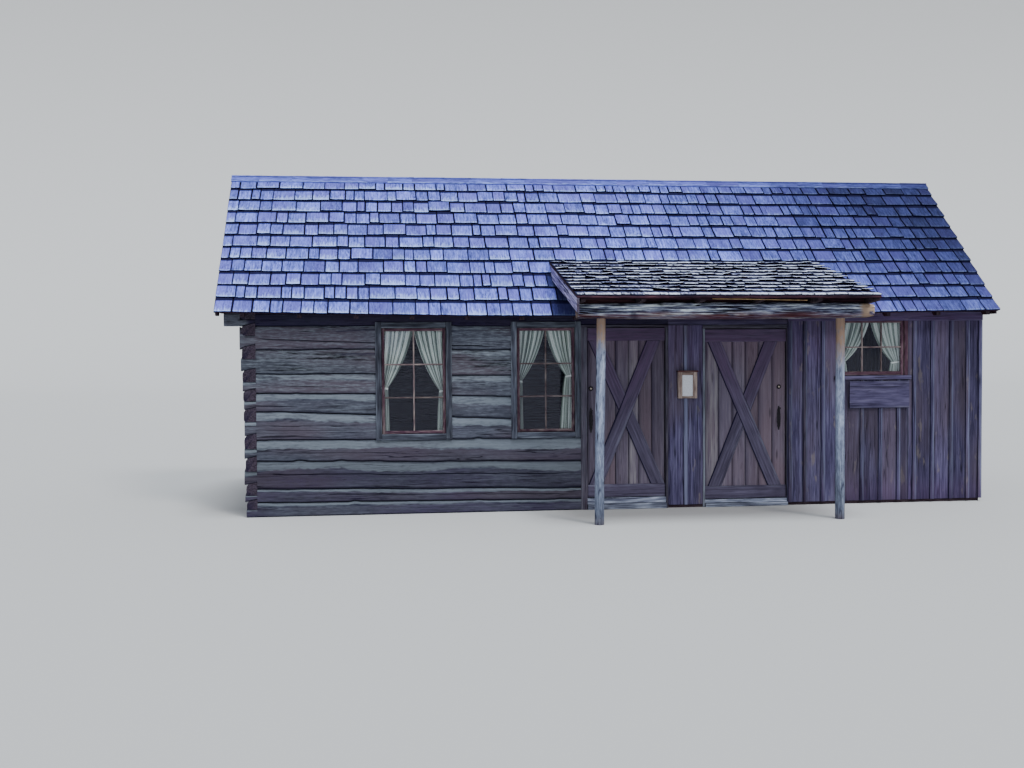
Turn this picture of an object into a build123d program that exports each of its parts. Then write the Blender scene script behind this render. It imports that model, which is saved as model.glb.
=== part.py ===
from build123d import *
import math
import os

# A one-storey cabin: a pen of hewn logs on the left, a board-and-batten room on the right,
# one gable roof of split shakes over both, and a lean-to porch roof over two plank doors.
# Millimetres. +X runs to the right along the front wall, +Y from the front to the back, +Z up.
# Distances named x are measured from the outer left corner of the log wall, distances named y
# from the outer face of the front wall, and heights from the ground.

# Overall form
wall_length = 8980.0
wall_depth = 3240.0
wall_top = 2345.0
log_pen_length = 5005.0
roof_pitch = 43.0
verge_left = 260.0
verge_right = 80.0
eave_reach = 290.0
porch_reach = 1510.0

# Log walls: seam heights at the left corner and at the left door's jamb post
log_thickness = 170.0
seam_gap = 8.0
course_seams = [
    (165.0, 130.0),
    (322.0, 262.0),
    (644.0, 580.0),
    (881.0, 858.0),
    (1215.0, 1060.0),
    (1423.0, 1340.0),
    (1646.0, 1595.0),
    (1920.0, 1905.0),
    (2190.0, 2190.0),
]
notch_bevel = 35.0
top_log_projection = 181.0
chinking_depth = 50.0

# Wall plates and the frame of the boarded room
plate_height = 144.0
plate_notch_relief = 1.0
frame_depth = 145.0
stud_depth = 100.0
post_width = 100.0
stud_width = 50.0
sill_beam_height = 150.0
header_bottom = 2190.0

# Boards, battens and trim
board_thickness = 25.0
board_joint = 2.0
boards_bottom = 38.0
batten_thickness = 20.0
batten_width = 50.0
batten_pitch = 229.0
middle_batten_from_pen = 210.0
frieze_bottom = 2232.0
frieze_thickness = 20.0

# Roof of the house
rafter_width = 50.0
rafter_depth = 90.0
rafter_seat = 60.0
rafter_pairs = 15
rafter_tail_setback = 45.0
rafter_tail_depth = 50.0
ridge_board_thickness = 30.0
ridge_board_depth = 160.0
deck_thickness = 20.0
deck_setback = 30.0
deck_ridge_gap = 1.0
shake_butt = 36.0
shake_low = 14.0
shake_exposure = 235.0
least_course = 0.3
cap_width = 110.0
cap_thickness = 26.0
rake_board_thickness = 25.0
rake_board_depth = 135.0
rake_board_setback = 15.0
rake_tail_depth = 40.0

# Floor
floor_top = 80.0
floor_thickness = 25.0
floor_gap = 0.3
sleeper_width = 90.0
sleeper_count = 9

# Windows with wooden frames through the wall
window_head = 2237.0
window_foot = 864.0
window_1_width = 886.0
window_2_width = 832.0
wall_between_windows = 696.0
window_casing = 70.0
window_proud = 12.0
sash_stile = 38.0
sash_front = 20.0
sash_depth = 35.0
glass_thickness = 4.0
window_3_width = 915.0
window_3_share = 0.364
window_3_foot = 1567.0
window_3_head = 2296.0
window_3_jamb = 50.0
window_3_bottom_rail = 50.0
window_3_sill_height = 55.0
window_3_sill_reach = 30.0
window_3_sill_horn = 28.0

# Curtains tied back behind each window
rod_radius = 6.0
rod_y = 92.0
rod_drop = 26.0
curtain_gap = 0.3
curtain_thickness = 22.0
curtain_parting = 12.0
curtain_tie_height = 0.5
window_3_tie_height = 0.23
curtain_tie_width = 75.0
curtain_hem_width = 105.0
curtain_lift = 20.0

# Doors of planks with an X of braces, opening inwards
left_door_width = 943.0
right_door_width = 1013.0
middle_boards_width = 429.0
left_door_z = (141.0, 2162.0)
right_door_z = (93.0, 2141.0)
door_recess = 30.0
plank_thickness = 30.0
brace_thickness = 20.0
brace_width = 160.0
left_brace_latch_inset = 12.0
left_brace_foot_inset = 5.0
left_brace_head_inset = 54.0
right_brace_hinge_inset = 36.0
right_brace_foot_inset = 58.0
right_brace_head_inset = 104.0
door_rail_height = 155.0
hinge_side_gap = 5.0
latch_side_gap = 7.0
door_end_gap = 6.0
jamb_thickness = 26.0
left_jamb_post = 78.0
door_sill_reach = 20.0
door_sill_back = 150.0
hinge_radius = 6.0
hinge_length = 90.0
hinge_count = 3
pin_gap = 0.3
hinge_flap = 34.0
hinge_flap_thickness = 4.0
bolt_height = 1440.0
bolt_radius = 17.0
bolt_proud = 14.0
left_bolt_inset = 44.0
right_bolt_inset = 85.0
pull_bottom = 915.0
pull_length = 290.0
pull_width = 26.0
pull_reach = 45.0
pull_radius = 7.0
pull_seat = 5.6
pull_plate_thickness = 3.0

# Porch
porch_past_left_door = 399.0
porch_past_right_door = 509.0
porch_pitch = 14.75
porch_eave_z = 2466.0
porch_deck_thickness = 20.0
porch_rafter_width = 50.0
porch_rafter_depth = 140.0
porch_rafter_count = 6
porch_tail_depth = 40.0
porch_tail_setback = 45.0
porch_shake_butt = 30.0
porch_shake_low = 12.0
porch_shake_exposure = 178.0
porch_side_board_thickness = 28.0
porch_side_board_depth = 146.0
porch_line_setback = 367.0
beam_left_setback = 62.0
beam_right_reach = 51.0
beam_end_height = 158.0
beam_middle_height = 190.0
beam_width = 164.0
beam_axis_z = 2321.0
beam_top = 2398.0
beam_bottom = 2240.0
left_post_foot_inset = 300.0
left_post_head_inset = 330.0
right_post_inset = 321.0
post_foot_radius = 54.0
post_head_radius = 51.0

# Leaflet box and sign board on the boarded walls
box_from_pen = 104.0
box_width = 232.0
box_z = (1316.0, 1650.0)
box_depth = 62.0
box_lid_overhang = 9.0
box_lid_thickness = 22.0
box_stile = 54.5
box_bottom_rail = 29.0
box_top_rail = 38.0
box_wall = 10.0
sign_width = 762.0
sign_inset = 5.0
sign_z = (1167.0, 1500.0)
sign_thickness = 22.0
sign_groove = 6.0

# The part's own frame: its origin is under the middle of the roofs, on the ground
roof_length = verge_left + wall_length + verge_right
corner_x = -roof_length / 2 + verge_left
front_y = (porch_reach - wall_depth - eave_reach) / 2

# Values worked out from the sizes above
slope = math.tan(math.radians(roof_pitch))
slope_cos = math.cos(math.radians(roof_pitch))
slope_sin = math.sin(math.radians(roof_pitch))
porch_slope = math.tan(math.radians(porch_pitch))
porch_cos = math.cos(math.radians(porch_pitch))
porch_sin = math.sin(math.radians(porch_pitch))
plate_top = wall_top + plate_height
ridge_y = wall_depth / 2
plate_left_x = -verge_left + rake_board_setback + rake_board_thickness
plate_right_x = wall_length + verge_right - rake_board_setback - rake_board_thickness
annex_inner_right = wall_length - board_thickness


def span(start, width):
    """A pair of distances: start, and start plus a width."""
    return (start, start + width)


# Doors, windows and porch along the front wall, worked out from the end of the log pen
left_jamb_x = span(log_pen_length - jamb_thickness, jamb_thickness)
left_door_x = span(left_jamb_x[0] - hinge_side_gap - left_door_width, left_door_width)
door_side_x = left_door_x[0] - latch_side_gap - left_jamb_post
right_jamb_x = span(log_pen_length + middle_boards_width, jamb_thickness)
right_door_x = span(right_jamb_x[1] + hinge_side_gap, right_door_width)
far_jamb_x = span(right_door_x[1] + latch_side_gap, jamb_thickness)
window_2_x = span(door_side_x - window_2_width, window_2_width)
window_1_x = span(window_2_x[0] - wall_between_windows - window_1_width, window_1_width)
window_3_free = (far_jamb_x[1] + post_width + stud_width, annex_inner_right - post_width - stud_width)
window_3_slack = window_3_free[1] - window_3_free[0] - window_3_width
window_3_x = span(window_3_free[0] + window_3_slack * window_3_share, window_3_width)
porch_x = (left_door_x[0] - porch_past_left_door, right_door_x[1] + porch_past_right_door)
beam_x = (porch_x[0] + beam_left_setback, porch_x[1] + beam_right_reach)
porch_line_y = -porch_reach + porch_line_setback
seam_run = door_side_x


def deck_top(y):
    """Height of the roof deck's upper face over the front slope."""
    return plate_top + (y - rafter_seat) * slope + (rafter_depth + deck_thickness) / slope_cos


def rafter_top(y):
    """Height of the rafters' upper face over the front slope."""
    return deck_top(y) - deck_thickness / slope_cos


def porch_deck_top(y):
    """Height of the porch deck's upper face."""
    return porch_eave_z + (y - porch_eave_y) * porch_slope


def porch_rafter_top(y):
    """Height of the porch rafters' upper face."""
    return porch_deck_top(y) - porch_deck_thickness / porch_cos


eave_y = -eave_reach + shake_butt * slope_sin
porch_eave_y = -porch_reach + porch_shake_butt * porch_sin
slope_length = (ridge_y - eave_y) / slope_cos


def front_plane(y):
    """Sketch plane parallel to the front wall: x along the wall, y up, normal to the viewer."""
    return Plane(origin=(corner_x, front_y + y, 0), x_dir=(1, 0, 0), z_dir=(0, -1, 0))


def side_plane(x):
    """Sketch plane across the house: x from front to back, y up, normal to the right."""
    return Plane(origin=(corner_x + x, front_y, 0), x_dir=(0, 1, 0), z_dir=(1, 0, 0))


def level_plane(z):
    """Level sketch plane whose origin is over the outer left corner of the log wall."""
    return Plane(origin=(corner_x, front_y, z), x_dir=(1, 0, 0), z_dir=(0, 0, 1))


back_mirror = Plane(origin=(0, front_y + ridge_y, 0), x_dir=(1, 0, 0), z_dir=(0, 1, 0))
main_roof_face = Plane(
    origin=(0, front_y - eave_reach, deck_top(eave_y) + shake_butt * slope_cos),
    x_dir=(1, 0, 0),
    z_dir=(0, -slope_sin, slope_cos),
)


def block(x, y, z, mode=Mode.ADD):
    """Squared timber or slab between two x, two y and two z distances."""
    centre = (corner_x + (x[0] + x[1]) / 2, front_y + (y[0] + y[1]) / 2, (z[0] + z[1]) / 2)
    with Locations(centre):
        Box(x[1] - x[0], y[1] - y[0], z[1] - z[0], mode=mode)


def outline(plane, points, amount, mode=Mode.ADD):
    """Straight-sided outline on a plane, extruded by an amount."""
    with BuildSketch(plane) as sketch:
        with BuildLine():
            Polyline(*points, close=True)
        make_face()
    extrude(sketch.sketch, amount=amount, mode=mode)


def save(builder, name):
    """Labels a finished piece and writes its file."""
    builder.part.label = name
    export_step(builder.part, f"parts/{name}.step")


# Log walls

seams_left = [0.0] + [pair[0] for pair in course_seams] + [wall_top]
seams_right = [0.0] + [pair[1] for pair in course_seams] + [wall_top]
course_count = len(seams_left) - 1


def seam_at(i, x):
    """Height of seam i at a distance x along the wall."""
    share = min(max(x / seam_run, 0.0), 1.0)
    return seams_left[i] + (seams_right[i] - seams_left[i]) * share


def middle_of(i):
    """Middle height of course i at the left corner."""
    return (seams_left[i] + seams_left[i + 1]) / 2


def tenon_top(i):
    """Height at which course i's corner tenon stops under the crossing log."""
    return (middle_of(i) + seams_left[i + 1]) / 2


def tenon_foot(i):
    """Height at which course i's corner tenon starts on the crossing log."""
    return (seams_left[i] + middle_of(i)) / 2


def log_outline(i, end_x):
    """Outline of the log of course i, from the corner tenon at its left end to end_x."""
    rise = seam_gap if i > 0 else 0.0
    foot = [(end_x, seam_at(i, end_x) + rise), (end_x, seam_at(i + 1, end_x))]
    neck = log_thickness
    top = [(neck, seam_at(i + 1, neck)), (neck, tenon_top(i))]
    if i == 0:
        tenon = [(0, tenon_top(i)), (0, 0)]
    elif i == course_count - 1:
        tenon = [
            (0, tenon_top(i)),
            (0, wall_top),
            (-top_log_projection, wall_top - notch_bevel / 2),
            (-top_log_projection, seams_left[i] + rise),
            (0, seams_left[i] + rise),
            (0, tenon_foot(i) - notch_bevel),
            (neck, tenon_foot(i)),
            (neck, seam_at(i, neck) + rise),
        ]
    else:
        tenon = [
            (0, tenon_top(i)),
            (0, tenon_foot(i) - notch_bevel),
            (neck, tenon_foot(i)),
            (neck, seam_at(i, neck) + rise),
        ]
    return foot + top + tenon


def side_log_outline(i):
    """Outline of the side wall's log over seam i, with a tenon at the front and the back."""
    t = log_thickness
    low = middle_of(i - 1) + seam_gap
    foot = tenon_top(i - 1)
    if i == course_count:
        front = [(0, wall_top), (0, foot - notch_bevel), (t, foot), (t, low)]
        crown = [(t, plate_top), (t, wall_top)]
    else:
        front = [(0, tenon_foot(i)), (0, foot - notch_bevel), (t, foot), (t, low)]
        crown = [(t, middle_of(i)), (t, tenon_foot(i))]
    back = [(wall_depth - a, b) for a, b in reversed(front)]
    back_crown = [(wall_depth - a, b) for a, b in reversed(crown)]
    return front + back + back_crown + crown


def cut_window(x, foot, head):
    """Cuts a window's opening through the front wall."""
    block(x, (-window_proud, log_thickness + window_proud), (foot, head), mode=Mode.SUBTRACT)


with BuildPart() as side_log_blanks:
    for i in range(1, course_count + 1):
        outline(side_plane(0), side_log_outline(i), log_thickness)

with BuildPart() as front_log_blanks:
    for i in range(course_count):
        end_x = log_pen_length if i == course_count - 1 else door_side_x
        outline(front_plane(0), log_outline(i, end_x), -log_thickness)

with BuildPart() as front_logs:
    add(front_log_blanks.part)
    add(side_log_blanks.part, mode=Mode.SUBTRACT)
    cut_window(window_1_x, window_foot, window_head)
    cut_window(window_2_x, window_foot, window_head)
save(front_logs, "front_logs")

with BuildPart() as back_logs:
    for i in range(course_count):
        outline(front_plane(wall_depth - log_thickness), log_outline(i, log_pen_length), -log_thickness)
    add(side_log_blanks.part, mode=Mode.SUBTRACT)
save(back_logs, "back_logs")

with BuildPart() as left_logs:
    block((0, log_thickness), (log_thickness, wall_depth - log_thickness), (0, middle_of(0)))
    for i in range(1, course_count + 1):
        outline(side_plane(0), side_log_outline(i), log_thickness)
    for i in range(1, course_count):
        bevel = [(log_thickness, tenon_foot(i)), (0, tenon_foot(i) - notch_bevel), (0, tenon_foot(i))]
        outline(front_plane(0), bevel, -log_thickness, Mode.SUBTRACT)
        outline(front_plane(wall_depth - log_thickness), bevel, -log_thickness, Mode.SUBTRACT)
save(left_logs, "left_logs")

with BuildPart() as chinking:
    recess = (log_thickness - chinking_depth) / 2
    for i in range(1, course_count):
        for y, end in ((recess, door_side_x), (wall_depth - recess - chinking_depth, log_pen_length)):
            start = log_thickness
            low = [(start, seam_at(i, start)), (end, seam_at(i, end))]
            strip = low + [(a, b + seam_gap) for a, b in reversed(low)]
            outline(front_plane(y), strip, -chinking_depth)
    for i in range(course_count):
        side = (log_thickness, wall_depth - log_thickness)
        block((recess, recess + chinking_depth), side, (middle_of(i), middle_of(i) + seam_gap))
    cut_window(window_1_x, window_foot, window_head)
    cut_window(window_2_x, window_foot, window_head)
save(chinking, "chinking")


# Plates, and the frame of the boarded room

front_frame_y = (board_thickness, board_thickness + frame_depth)
back_frame_y = (wall_depth - front_frame_y[1], wall_depth - front_frame_y[0])
end_frame_x = (annex_inner_right - frame_depth, annex_inner_right)

with BuildPart() as wall_plates:
    for y in ((0, log_thickness), (wall_depth - log_thickness, wall_depth)):
        block((plate_left_x, plate_right_x), y, (wall_top, plate_top))
save(wall_plates, "wall_plates")

with BuildPart() as sill_beams:
    block((left_jamb_x[1], right_jamb_x[0]), front_frame_y, (0, sill_beam_height))
    block((far_jamb_x[1], annex_inner_right), front_frame_y, (0, sill_beam_height))
    block((log_pen_length, annex_inner_right), back_frame_y, (0, sill_beam_height))
save(sill_beams, "sill_beams")

with BuildPart() as headers:
    block((log_pen_length, annex_inner_right), front_frame_y, (header_bottom, wall_top))
    block((log_pen_length, annex_inner_right), back_frame_y, (header_bottom, wall_top))
    block(window_3_x, front_frame_y, (header_bottom, window_3_head), mode=Mode.SUBTRACT)
save(headers, "headers")

with BuildPart() as end_beams:
    end_y = (front_frame_y[1], back_frame_y[0])
    block(end_frame_x, end_y, (0, sill_beam_height))
    block(end_frame_x, end_y, (header_bottom, wall_top))
save(end_beams, "end_beams")

with BuildPart() as posts:
    front_posts = [
        (left_jamb_x[1], left_jamb_x[1] + post_width),
        (right_jamb_x[0] - post_width, right_jamb_x[0]),
        (far_jamb_x[1], far_jamb_x[1] + post_width),
        (window_3_x[0] - stud_width, window_3_x[0]),
        (window_3_x[1], window_3_x[1] + stud_width),
        (annex_inner_right - post_width, annex_inner_right),
    ]
    middle_x = (log_pen_length + annex_inner_right) / 2
    back_posts = [
        (log_pen_length, log_pen_length + post_width),
        (middle_x - post_width / 2, middle_x + post_width / 2),
        (annex_inner_right - post_width, annex_inner_right),
    ]
    post_z = (sill_beam_height, header_bottom)
    for x in front_posts:
        block(x, (board_thickness, board_thickness + stud_depth), post_z)
    for x in back_posts:
        block(x, (wall_depth - board_thickness - stud_depth, wall_depth - board_thickness), post_z)
    end_post_y = (ridge_y - post_width / 2, ridge_y + post_width / 2)
    block((annex_inner_right - stud_depth, annex_inner_right), end_post_y, post_z)
save(posts, "posts")


# Board-and-batten walls

window_3_sill_z = (window_3_foot - window_3_sill_height, window_3_foot)
window_3_sill_x = (window_3_x[0] - window_3_sill_horn, window_3_x[1] + window_3_sill_horn)

with BuildPart() as front_boards:
    skin = (0, board_thickness)
    block((left_jamb_x[1], right_jamb_x[0]), skin, (boards_bottom, header_bottom - board_joint))
    block((log_pen_length, far_jamb_x[0] - board_joint), skin, (header_bottom, wall_top))
    block((far_jamb_x[0], window_3_x[0] - board_joint), skin, (boards_bottom, wall_top))
    block(window_3_x, skin, (boards_bottom, window_3_sill_z[0]))
    block(window_3_x, skin, (window_3_head, wall_top))
    block((window_3_x[1] + board_joint, wall_length), skin, (boards_bottom, wall_top))
    middle_batten_x = log_pen_length + middle_batten_from_pen
    ribs = [middle_batten_x]
    batten_x = far_jamb_x[0] + batten_width / 2
    while batten_x < wall_length - batten_width / 2:
        ribs.append(batten_x)
        batten_x += batten_pitch
    for rib in ribs:
        rib_x = (rib - batten_width / 2, rib + batten_width / 2)
        rib_top = header_bottom - board_joint if rib == middle_batten_x else frieze_bottom
        block(rib_x, (-batten_thickness, 0), (boards_bottom, rib_top))
    over_window = (window_3_sill_z[0], wall_top)
    block(window_3_sill_x, (-batten_thickness, 0), over_window, mode=Mode.SUBTRACT)
save(front_boards, "front_boards")


def gable_outline(start_y, end_y, foot):
    """Boards under the roof deck, from one wall face to the other."""
    return [
        (start_y, foot),
        (start_y, rafter_top(start_y)),
        (ridge_y, rafter_top(ridge_y)),
        (end_y, rafter_top(wall_depth - end_y)),
        (end_y, foot),
    ]


def batten_rows(start_y, end_y):
    """Evenly spaced batten centres between two y distances."""
    count = round((end_y - start_y) / batten_pitch)
    return [start_y + (end_y - start_y) * (k + 0.5) / count for k in range(count)]


def end_battens(x, start_y, end_y, foot):
    """Battens over the joints of an end wall's boards, cut to the slope of the roof."""
    for y in batten_rows(start_y, end_y):
        near = y - batten_width / 2
        far = y + batten_width / 2
        near_top = rafter_top(min(near, wall_depth - near))
        far_top = rafter_top(min(far, wall_depth - far))
        batten = [(near, foot), (far, foot), (far, far_top), (near, near_top)]
        outline(side_plane(x), batten, batten_thickness)


def cut_for_roof_timbers():
    """Lets the plates and the ridge board through an end wall."""
    whole = (plate_left_x, plate_right_x)
    outer_faces = (-plate_notch_relief, wall_depth + plate_notch_relief)
    for y in ((outer_faces[0], log_thickness), (wall_depth - log_thickness, outer_faces[1])):
        block(whole, y, (wall_top, plate_top), mode=Mode.SUBTRACT)
    block(whole, ridge_board_y, (ridge_board_z[0], rafter_top(ridge_y)), mode=Mode.SUBTRACT)


ridge_board_y = (ridge_y - ridge_board_thickness / 2, ridge_y + ridge_board_thickness / 2)
ridge_board_z = (rafter_top(ridge_board_y[0]) - ridge_board_depth, rafter_top(ridge_board_y[0]))

with BuildPart() as right_boards:
    right_skin = gable_outline(board_thickness, wall_depth - board_thickness, boards_bottom)
    outline(side_plane(annex_inner_right), right_skin, board_thickness)
    end_battens(wall_length, board_thickness, wall_depth - board_thickness, boards_bottom)
    cut_for_roof_timbers()
save(right_boards, "right_boards")

with BuildPart() as left_gable_boards:
    outline(side_plane(0), gable_outline(0, wall_depth, plate_top), board_thickness)
    end_battens(-batten_thickness, log_thickness, wall_depth - log_thickness, plate_top)
    cut_for_roof_timbers()
save(left_gable_boards, "left_gable_boards")

with BuildPart() as back_boards:
    back_skin = (wall_depth - board_thickness, wall_depth)
    block((log_pen_length, wall_length), back_skin, (boards_bottom, wall_top))
    count = round((wall_length - log_pen_length) / batten_pitch)
    for k in range(count):
        rib = log_pen_length + (wall_length - log_pen_length) * (k + 0.5) / count
        rib_x = (rib - batten_width / 2, rib + batten_width / 2)
        block(rib_x, (wall_depth, wall_depth + batten_thickness), (boards_bottom, wall_top))
save(back_boards, "back_boards")

with BuildPart() as frieze_board:
    block((far_jamb_x[0], wall_length), (-frieze_thickness, 0), (frieze_bottom, wall_top))
save(frieze_board, "frieze_board")


# Floor

with BuildPart() as floor_sleepers:
    first = log_thickness + sleeper_width
    last = end_frame_x[0] - sleeper_width
    for k in range(sleeper_count):
        x = first + (last - first) * k / (sleeper_count - 1)
        across = (log_thickness + floor_gap, wall_depth - log_thickness - floor_gap)
        block((x - sleeper_width / 2, x + sleeper_width / 2), across, (0, floor_top - floor_thickness))
save(floor_sleepers, "floor_sleepers")

with BuildPart() as floor_boards:
    along = (log_thickness + floor_gap, end_frame_x[0] - floor_gap)
    across = (log_thickness + floor_gap, wall_depth - log_thickness - floor_gap)
    block(along, across, (floor_top - floor_thickness, floor_top))
save(floor_boards, "floor_boards")


# Roof timbers, deck and shakes

rafter_bottom_drop = rafter_depth / slope_cos
tail_y = eave_y + rafter_tail_setback


def level_tail(drop, tail_depth):
    """Level cut under the tail of a timber that is drop high: its inner and outer points."""
    foot_z = rafter_top(tail_y) - tail_depth
    return [(tail_y + (drop - tail_depth) / slope, foot_z), (tail_y, foot_z)]


rafter_head_y = ridge_board_y[0]

with BuildPart() as rafters:
    profile = [
        (tail_y, rafter_top(tail_y)),
        (rafter_head_y, rafter_top(rafter_head_y)),
        (rafter_head_y, rafter_top(rafter_head_y) - rafter_bottom_drop),
        (rafter_seat, plate_top),
        (0, plate_top),
        (0, rafter_top(0) - rafter_bottom_drop),
        *level_tail(rafter_bottom_drop, rafter_tail_depth),
    ]
    first = board_thickness
    last = annex_inner_right - rafter_width
    for k in range(rafter_pairs):
        x = first + (last - first) * k / (rafter_pairs - 1)
        outline(side_plane(x), profile, rafter_width)
    mirror(about=back_mirror)
save(rafters, "rafters")

with BuildPart() as ridge_board:
    block((plate_left_x, plate_right_x), ridge_board_y, ridge_board_z)
save(ridge_board, "ridge_board")

with BuildPart() as rake_boards:
    rake_drop = rake_board_depth / slope_cos
    end_y = ridge_y - deck_ridge_gap
    profile = [
        (tail_y, rafter_top(tail_y)),
        (end_y, rafter_top(end_y)),
        (end_y, rafter_top(end_y) - rake_drop),
        *level_tail(rake_drop, rake_tail_depth),
    ]
    for x in (plate_left_x - rake_board_thickness, plate_right_x):
        outline(side_plane(x), profile, rake_board_thickness)
    mirror(about=back_mirror)
save(rake_boards, "rake_boards")

deck_y = eave_y + deck_setback * slope_cos

with BuildPart() as roof_deck:
    end_y = ridge_y - deck_ridge_gap
    profile = [
        (deck_y, deck_top(deck_y)),
        (end_y, deck_top(end_y)),
        (end_y, rafter_top(end_y)),
        (deck_y + deck_thickness * slope_sin, deck_top(deck_y) - deck_thickness * slope_cos),
    ]
    outline(side_plane(-verge_left), profile, roof_length)
    mirror(about=back_mirror)
save(roof_deck, "roof_deck")


def shake_profile(length, exposure, butt, low):
    """Stepped section of overlapping courses: x up the slope, y out from the deck."""
    points = [(0, 0)]
    count = math.ceil(length / exposure - least_course)
    for k in range(count):
        foot = k * exposure
        head = length if k == count - 1 else foot + exposure
        points.append((foot, butt))
        points.append((head, butt + (low - butt) * (head - foot) / exposure))
    return points + [(length, 0)]


def slope_plane(x, y, z, pitch):
    """Sketch plane with x up a front slope and y out of it, normal to the right."""
    angle = math.radians(pitch)
    origin = (corner_x + x, front_y + y, z)
    return Plane(origin=origin, x_dir=(0, math.cos(angle), math.sin(angle)), z_dir=(1, 0, 0))


with BuildPart() as front_shakes:
    courses = shake_profile(slope_length, shake_exposure, shake_butt, shake_low)
    plane = slope_plane(-verge_left, eave_y, deck_top(eave_y), roof_pitch)
    outline(plane, courses, roof_length)
save(front_shakes, "front_shakes")

with BuildPart() as back_shakes:
    mirror(front_shakes.part, about=back_mirror)
save(back_shakes, "back_shakes")

with BuildPart() as ridge_cap:
    last_foot = (math.ceil(slope_length / shake_exposure - least_course) - 1) * shake_exposure
    cap_edge = slope_length - cap_width
    share = (cap_edge - last_foot) / shake_exposure
    seat = shake_butt + (shake_low - shake_butt) * share
    edge_y = eave_y + cap_edge * slope_cos - seat * slope_sin
    edge_z = deck_top(eave_y) + cap_edge * slope_sin + seat * slope_cos
    apex_inner = edge_z + (ridge_y - edge_y) * slope
    apex_outer = apex_inner + cap_thickness / slope_cos
    half = [
        (ridge_y, apex_inner),
        (edge_y, edge_z),
        (edge_y - cap_thickness * slope_sin, edge_z + cap_thickness * slope_cos),
        (ridge_y, apex_outer),
    ]
    outline(side_plane(-verge_left), half, roof_length)
    mirror(about=back_mirror)
save(ridge_cap, "ridge_cap")


# Windows

def ring(x, z, thickness, front, depth, foot_thickness=None):
    """Rectangular frame seen from the front, open in the middle."""
    low = thickness if foot_thickness is None else foot_thickness
    block(x, (front, front + depth), z)
    inner = (x[0] + thickness, x[1] - thickness)
    block(inner, (front, front + depth), (z[0] + low, z[1] - thickness), mode=Mode.SUBTRACT)


def inset(x, amount):
    """A pair of distances moved inwards by an amount."""
    return (x[0] + amount, x[1] - amount)


log_windows = {"window_1": window_1_x, "window_2": window_2_x}
window_z = (window_foot, window_head)
frame_run = log_thickness + window_proud
for name, x in log_windows.items():
    with BuildPart() as frame:
        ring(x, window_z, window_casing, -window_proud, frame_run)
    save(frame, f"{name}_frame")

with BuildPart() as window_3_frame:
    block(window_3_x, (0, board_thickness + stud_depth), (window_3_foot, window_3_head))
    clear_x = inset(window_3_x, window_3_jamb)
    clear_z = (window_3_foot, window_3_head - window_3_jamb)
    block(clear_x, (0, board_thickness + stud_depth), clear_z, mode=Mode.SUBTRACT)
save(window_3_frame, "window_3_frame")

with BuildPart() as window_3_sill:
    block(window_3_x, (0, board_thickness + stud_depth), window_3_sill_z)
    block(window_3_sill_x, (-window_3_sill_reach, 0), window_3_sill_z)
save(window_3_sill, "window_3_sill")

sash_sizes = [(inset(x, window_casing), inset(window_z, window_casing)) for x in log_windows.values()]
sash_sizes.append((clear_x, clear_z))

with BuildPart() as sashes:
    for (x, z), foot in zip(sash_sizes, (sash_stile, sash_stile, window_3_bottom_rail)):
        ring(x, z, sash_stile, sash_front, sash_depth, foot)
save(sashes, "sashes")

with BuildPart() as window_glass:
    for (x, z), foot in zip(sash_sizes, (sash_stile, sash_stile, window_3_bottom_rail)):
        pane_y = sash_front + (sash_depth - glass_thickness) / 2
        pane_z = (z[0] + foot, z[1] - sash_stile)
        block(inset(x, sash_stile), (pane_y, pane_y + glass_thickness), pane_z)
save(window_glass, "window_glass")

with BuildPart() as curtain_rods:
    for x, z in sash_sizes:
        rod_plane = side_plane(x[0])
        with BuildSketch(rod_plane):
            with Locations((rod_y, z[1] - rod_drop)):
                Circle(rod_radius)
        extrude(amount=x[1] - x[0])
save(curtain_rods, "curtain_rods")


def curtain(x_side, x_middle, z, tie_height):
    """One tied-back panel: full at the rod, gathered at the tie, hanging beside the jamb."""
    direction = 1 if x_middle > x_side else -1
    top = z[1] - rod_drop - rod_radius - curtain_gap
    foot = z[0] + curtain_lift
    tie_z = foot + (top - foot) * tie_height
    edge = x_side + direction * curtain_gap
    panel = [
        (edge, top),
        (x_middle - direction * curtain_parting / 2, top),
        (edge + direction * curtain_tie_width, tie_z),
        (edge + direction * curtain_hem_width, foot),
        (edge, foot),
    ]
    outline(front_plane(rod_y - curtain_thickness / 2), panel, -curtain_thickness)


tie_heights = (curtain_tie_height, curtain_tie_height, window_3_tie_height)
for name, (x, z), tie_height in zip(("window_1", "window_2", "window_3"), sash_sizes, tie_heights):
    with BuildPart() as curtains:
        middle = (x[0] + x[1]) / 2
        curtain(x[0], middle, z, tie_height)
        curtain(x[1], middle, z, tie_height)
    save(curtains, f"{name}_curtains")


# Door frames

left_head_z = (left_door_z[1] + door_end_gap, header_bottom + seam_gap)
right_head_z = (right_door_z[1] + door_end_gap, header_bottom)
leaf_back = door_recess + brace_thickness + plank_thickness

with BuildPart() as door_jambs:
    left_post_x = (door_side_x, door_side_x + left_jamb_post)
    block(left_post_x, (0, log_thickness), (0, left_head_z[0]))
    block(left_jamb_x, (0, leaf_back), (0, left_head_z[0]))
    block(right_jamb_x, (0, leaf_back), (0, right_head_z[0]))
    block(far_jamb_x, (board_thickness, leaf_back), (0, right_head_z[0]))
save(door_jambs, "door_jambs")

with BuildPart() as door_heads:
    block((door_side_x, left_jamb_x[1]), (0, leaf_back), left_head_z)
    block((right_jamb_x[0], far_jamb_x[0] - board_joint), (0, leaf_back), right_head_z)
save(door_heads, "door_heads")

with BuildPart() as door_sills:
    sill_y = (-door_sill_reach, door_sill_back)
    left_sill_x = (door_side_x + left_jamb_post, left_jamb_x[0])
    block(left_sill_x, sill_y, (0, left_door_z[0] - door_end_gap))
    block((right_jamb_x[1], far_jamb_x[0]), sill_y, (0, right_door_z[0] - door_end_gap))
save(door_sills, "door_sills")


# Door leaves

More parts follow.
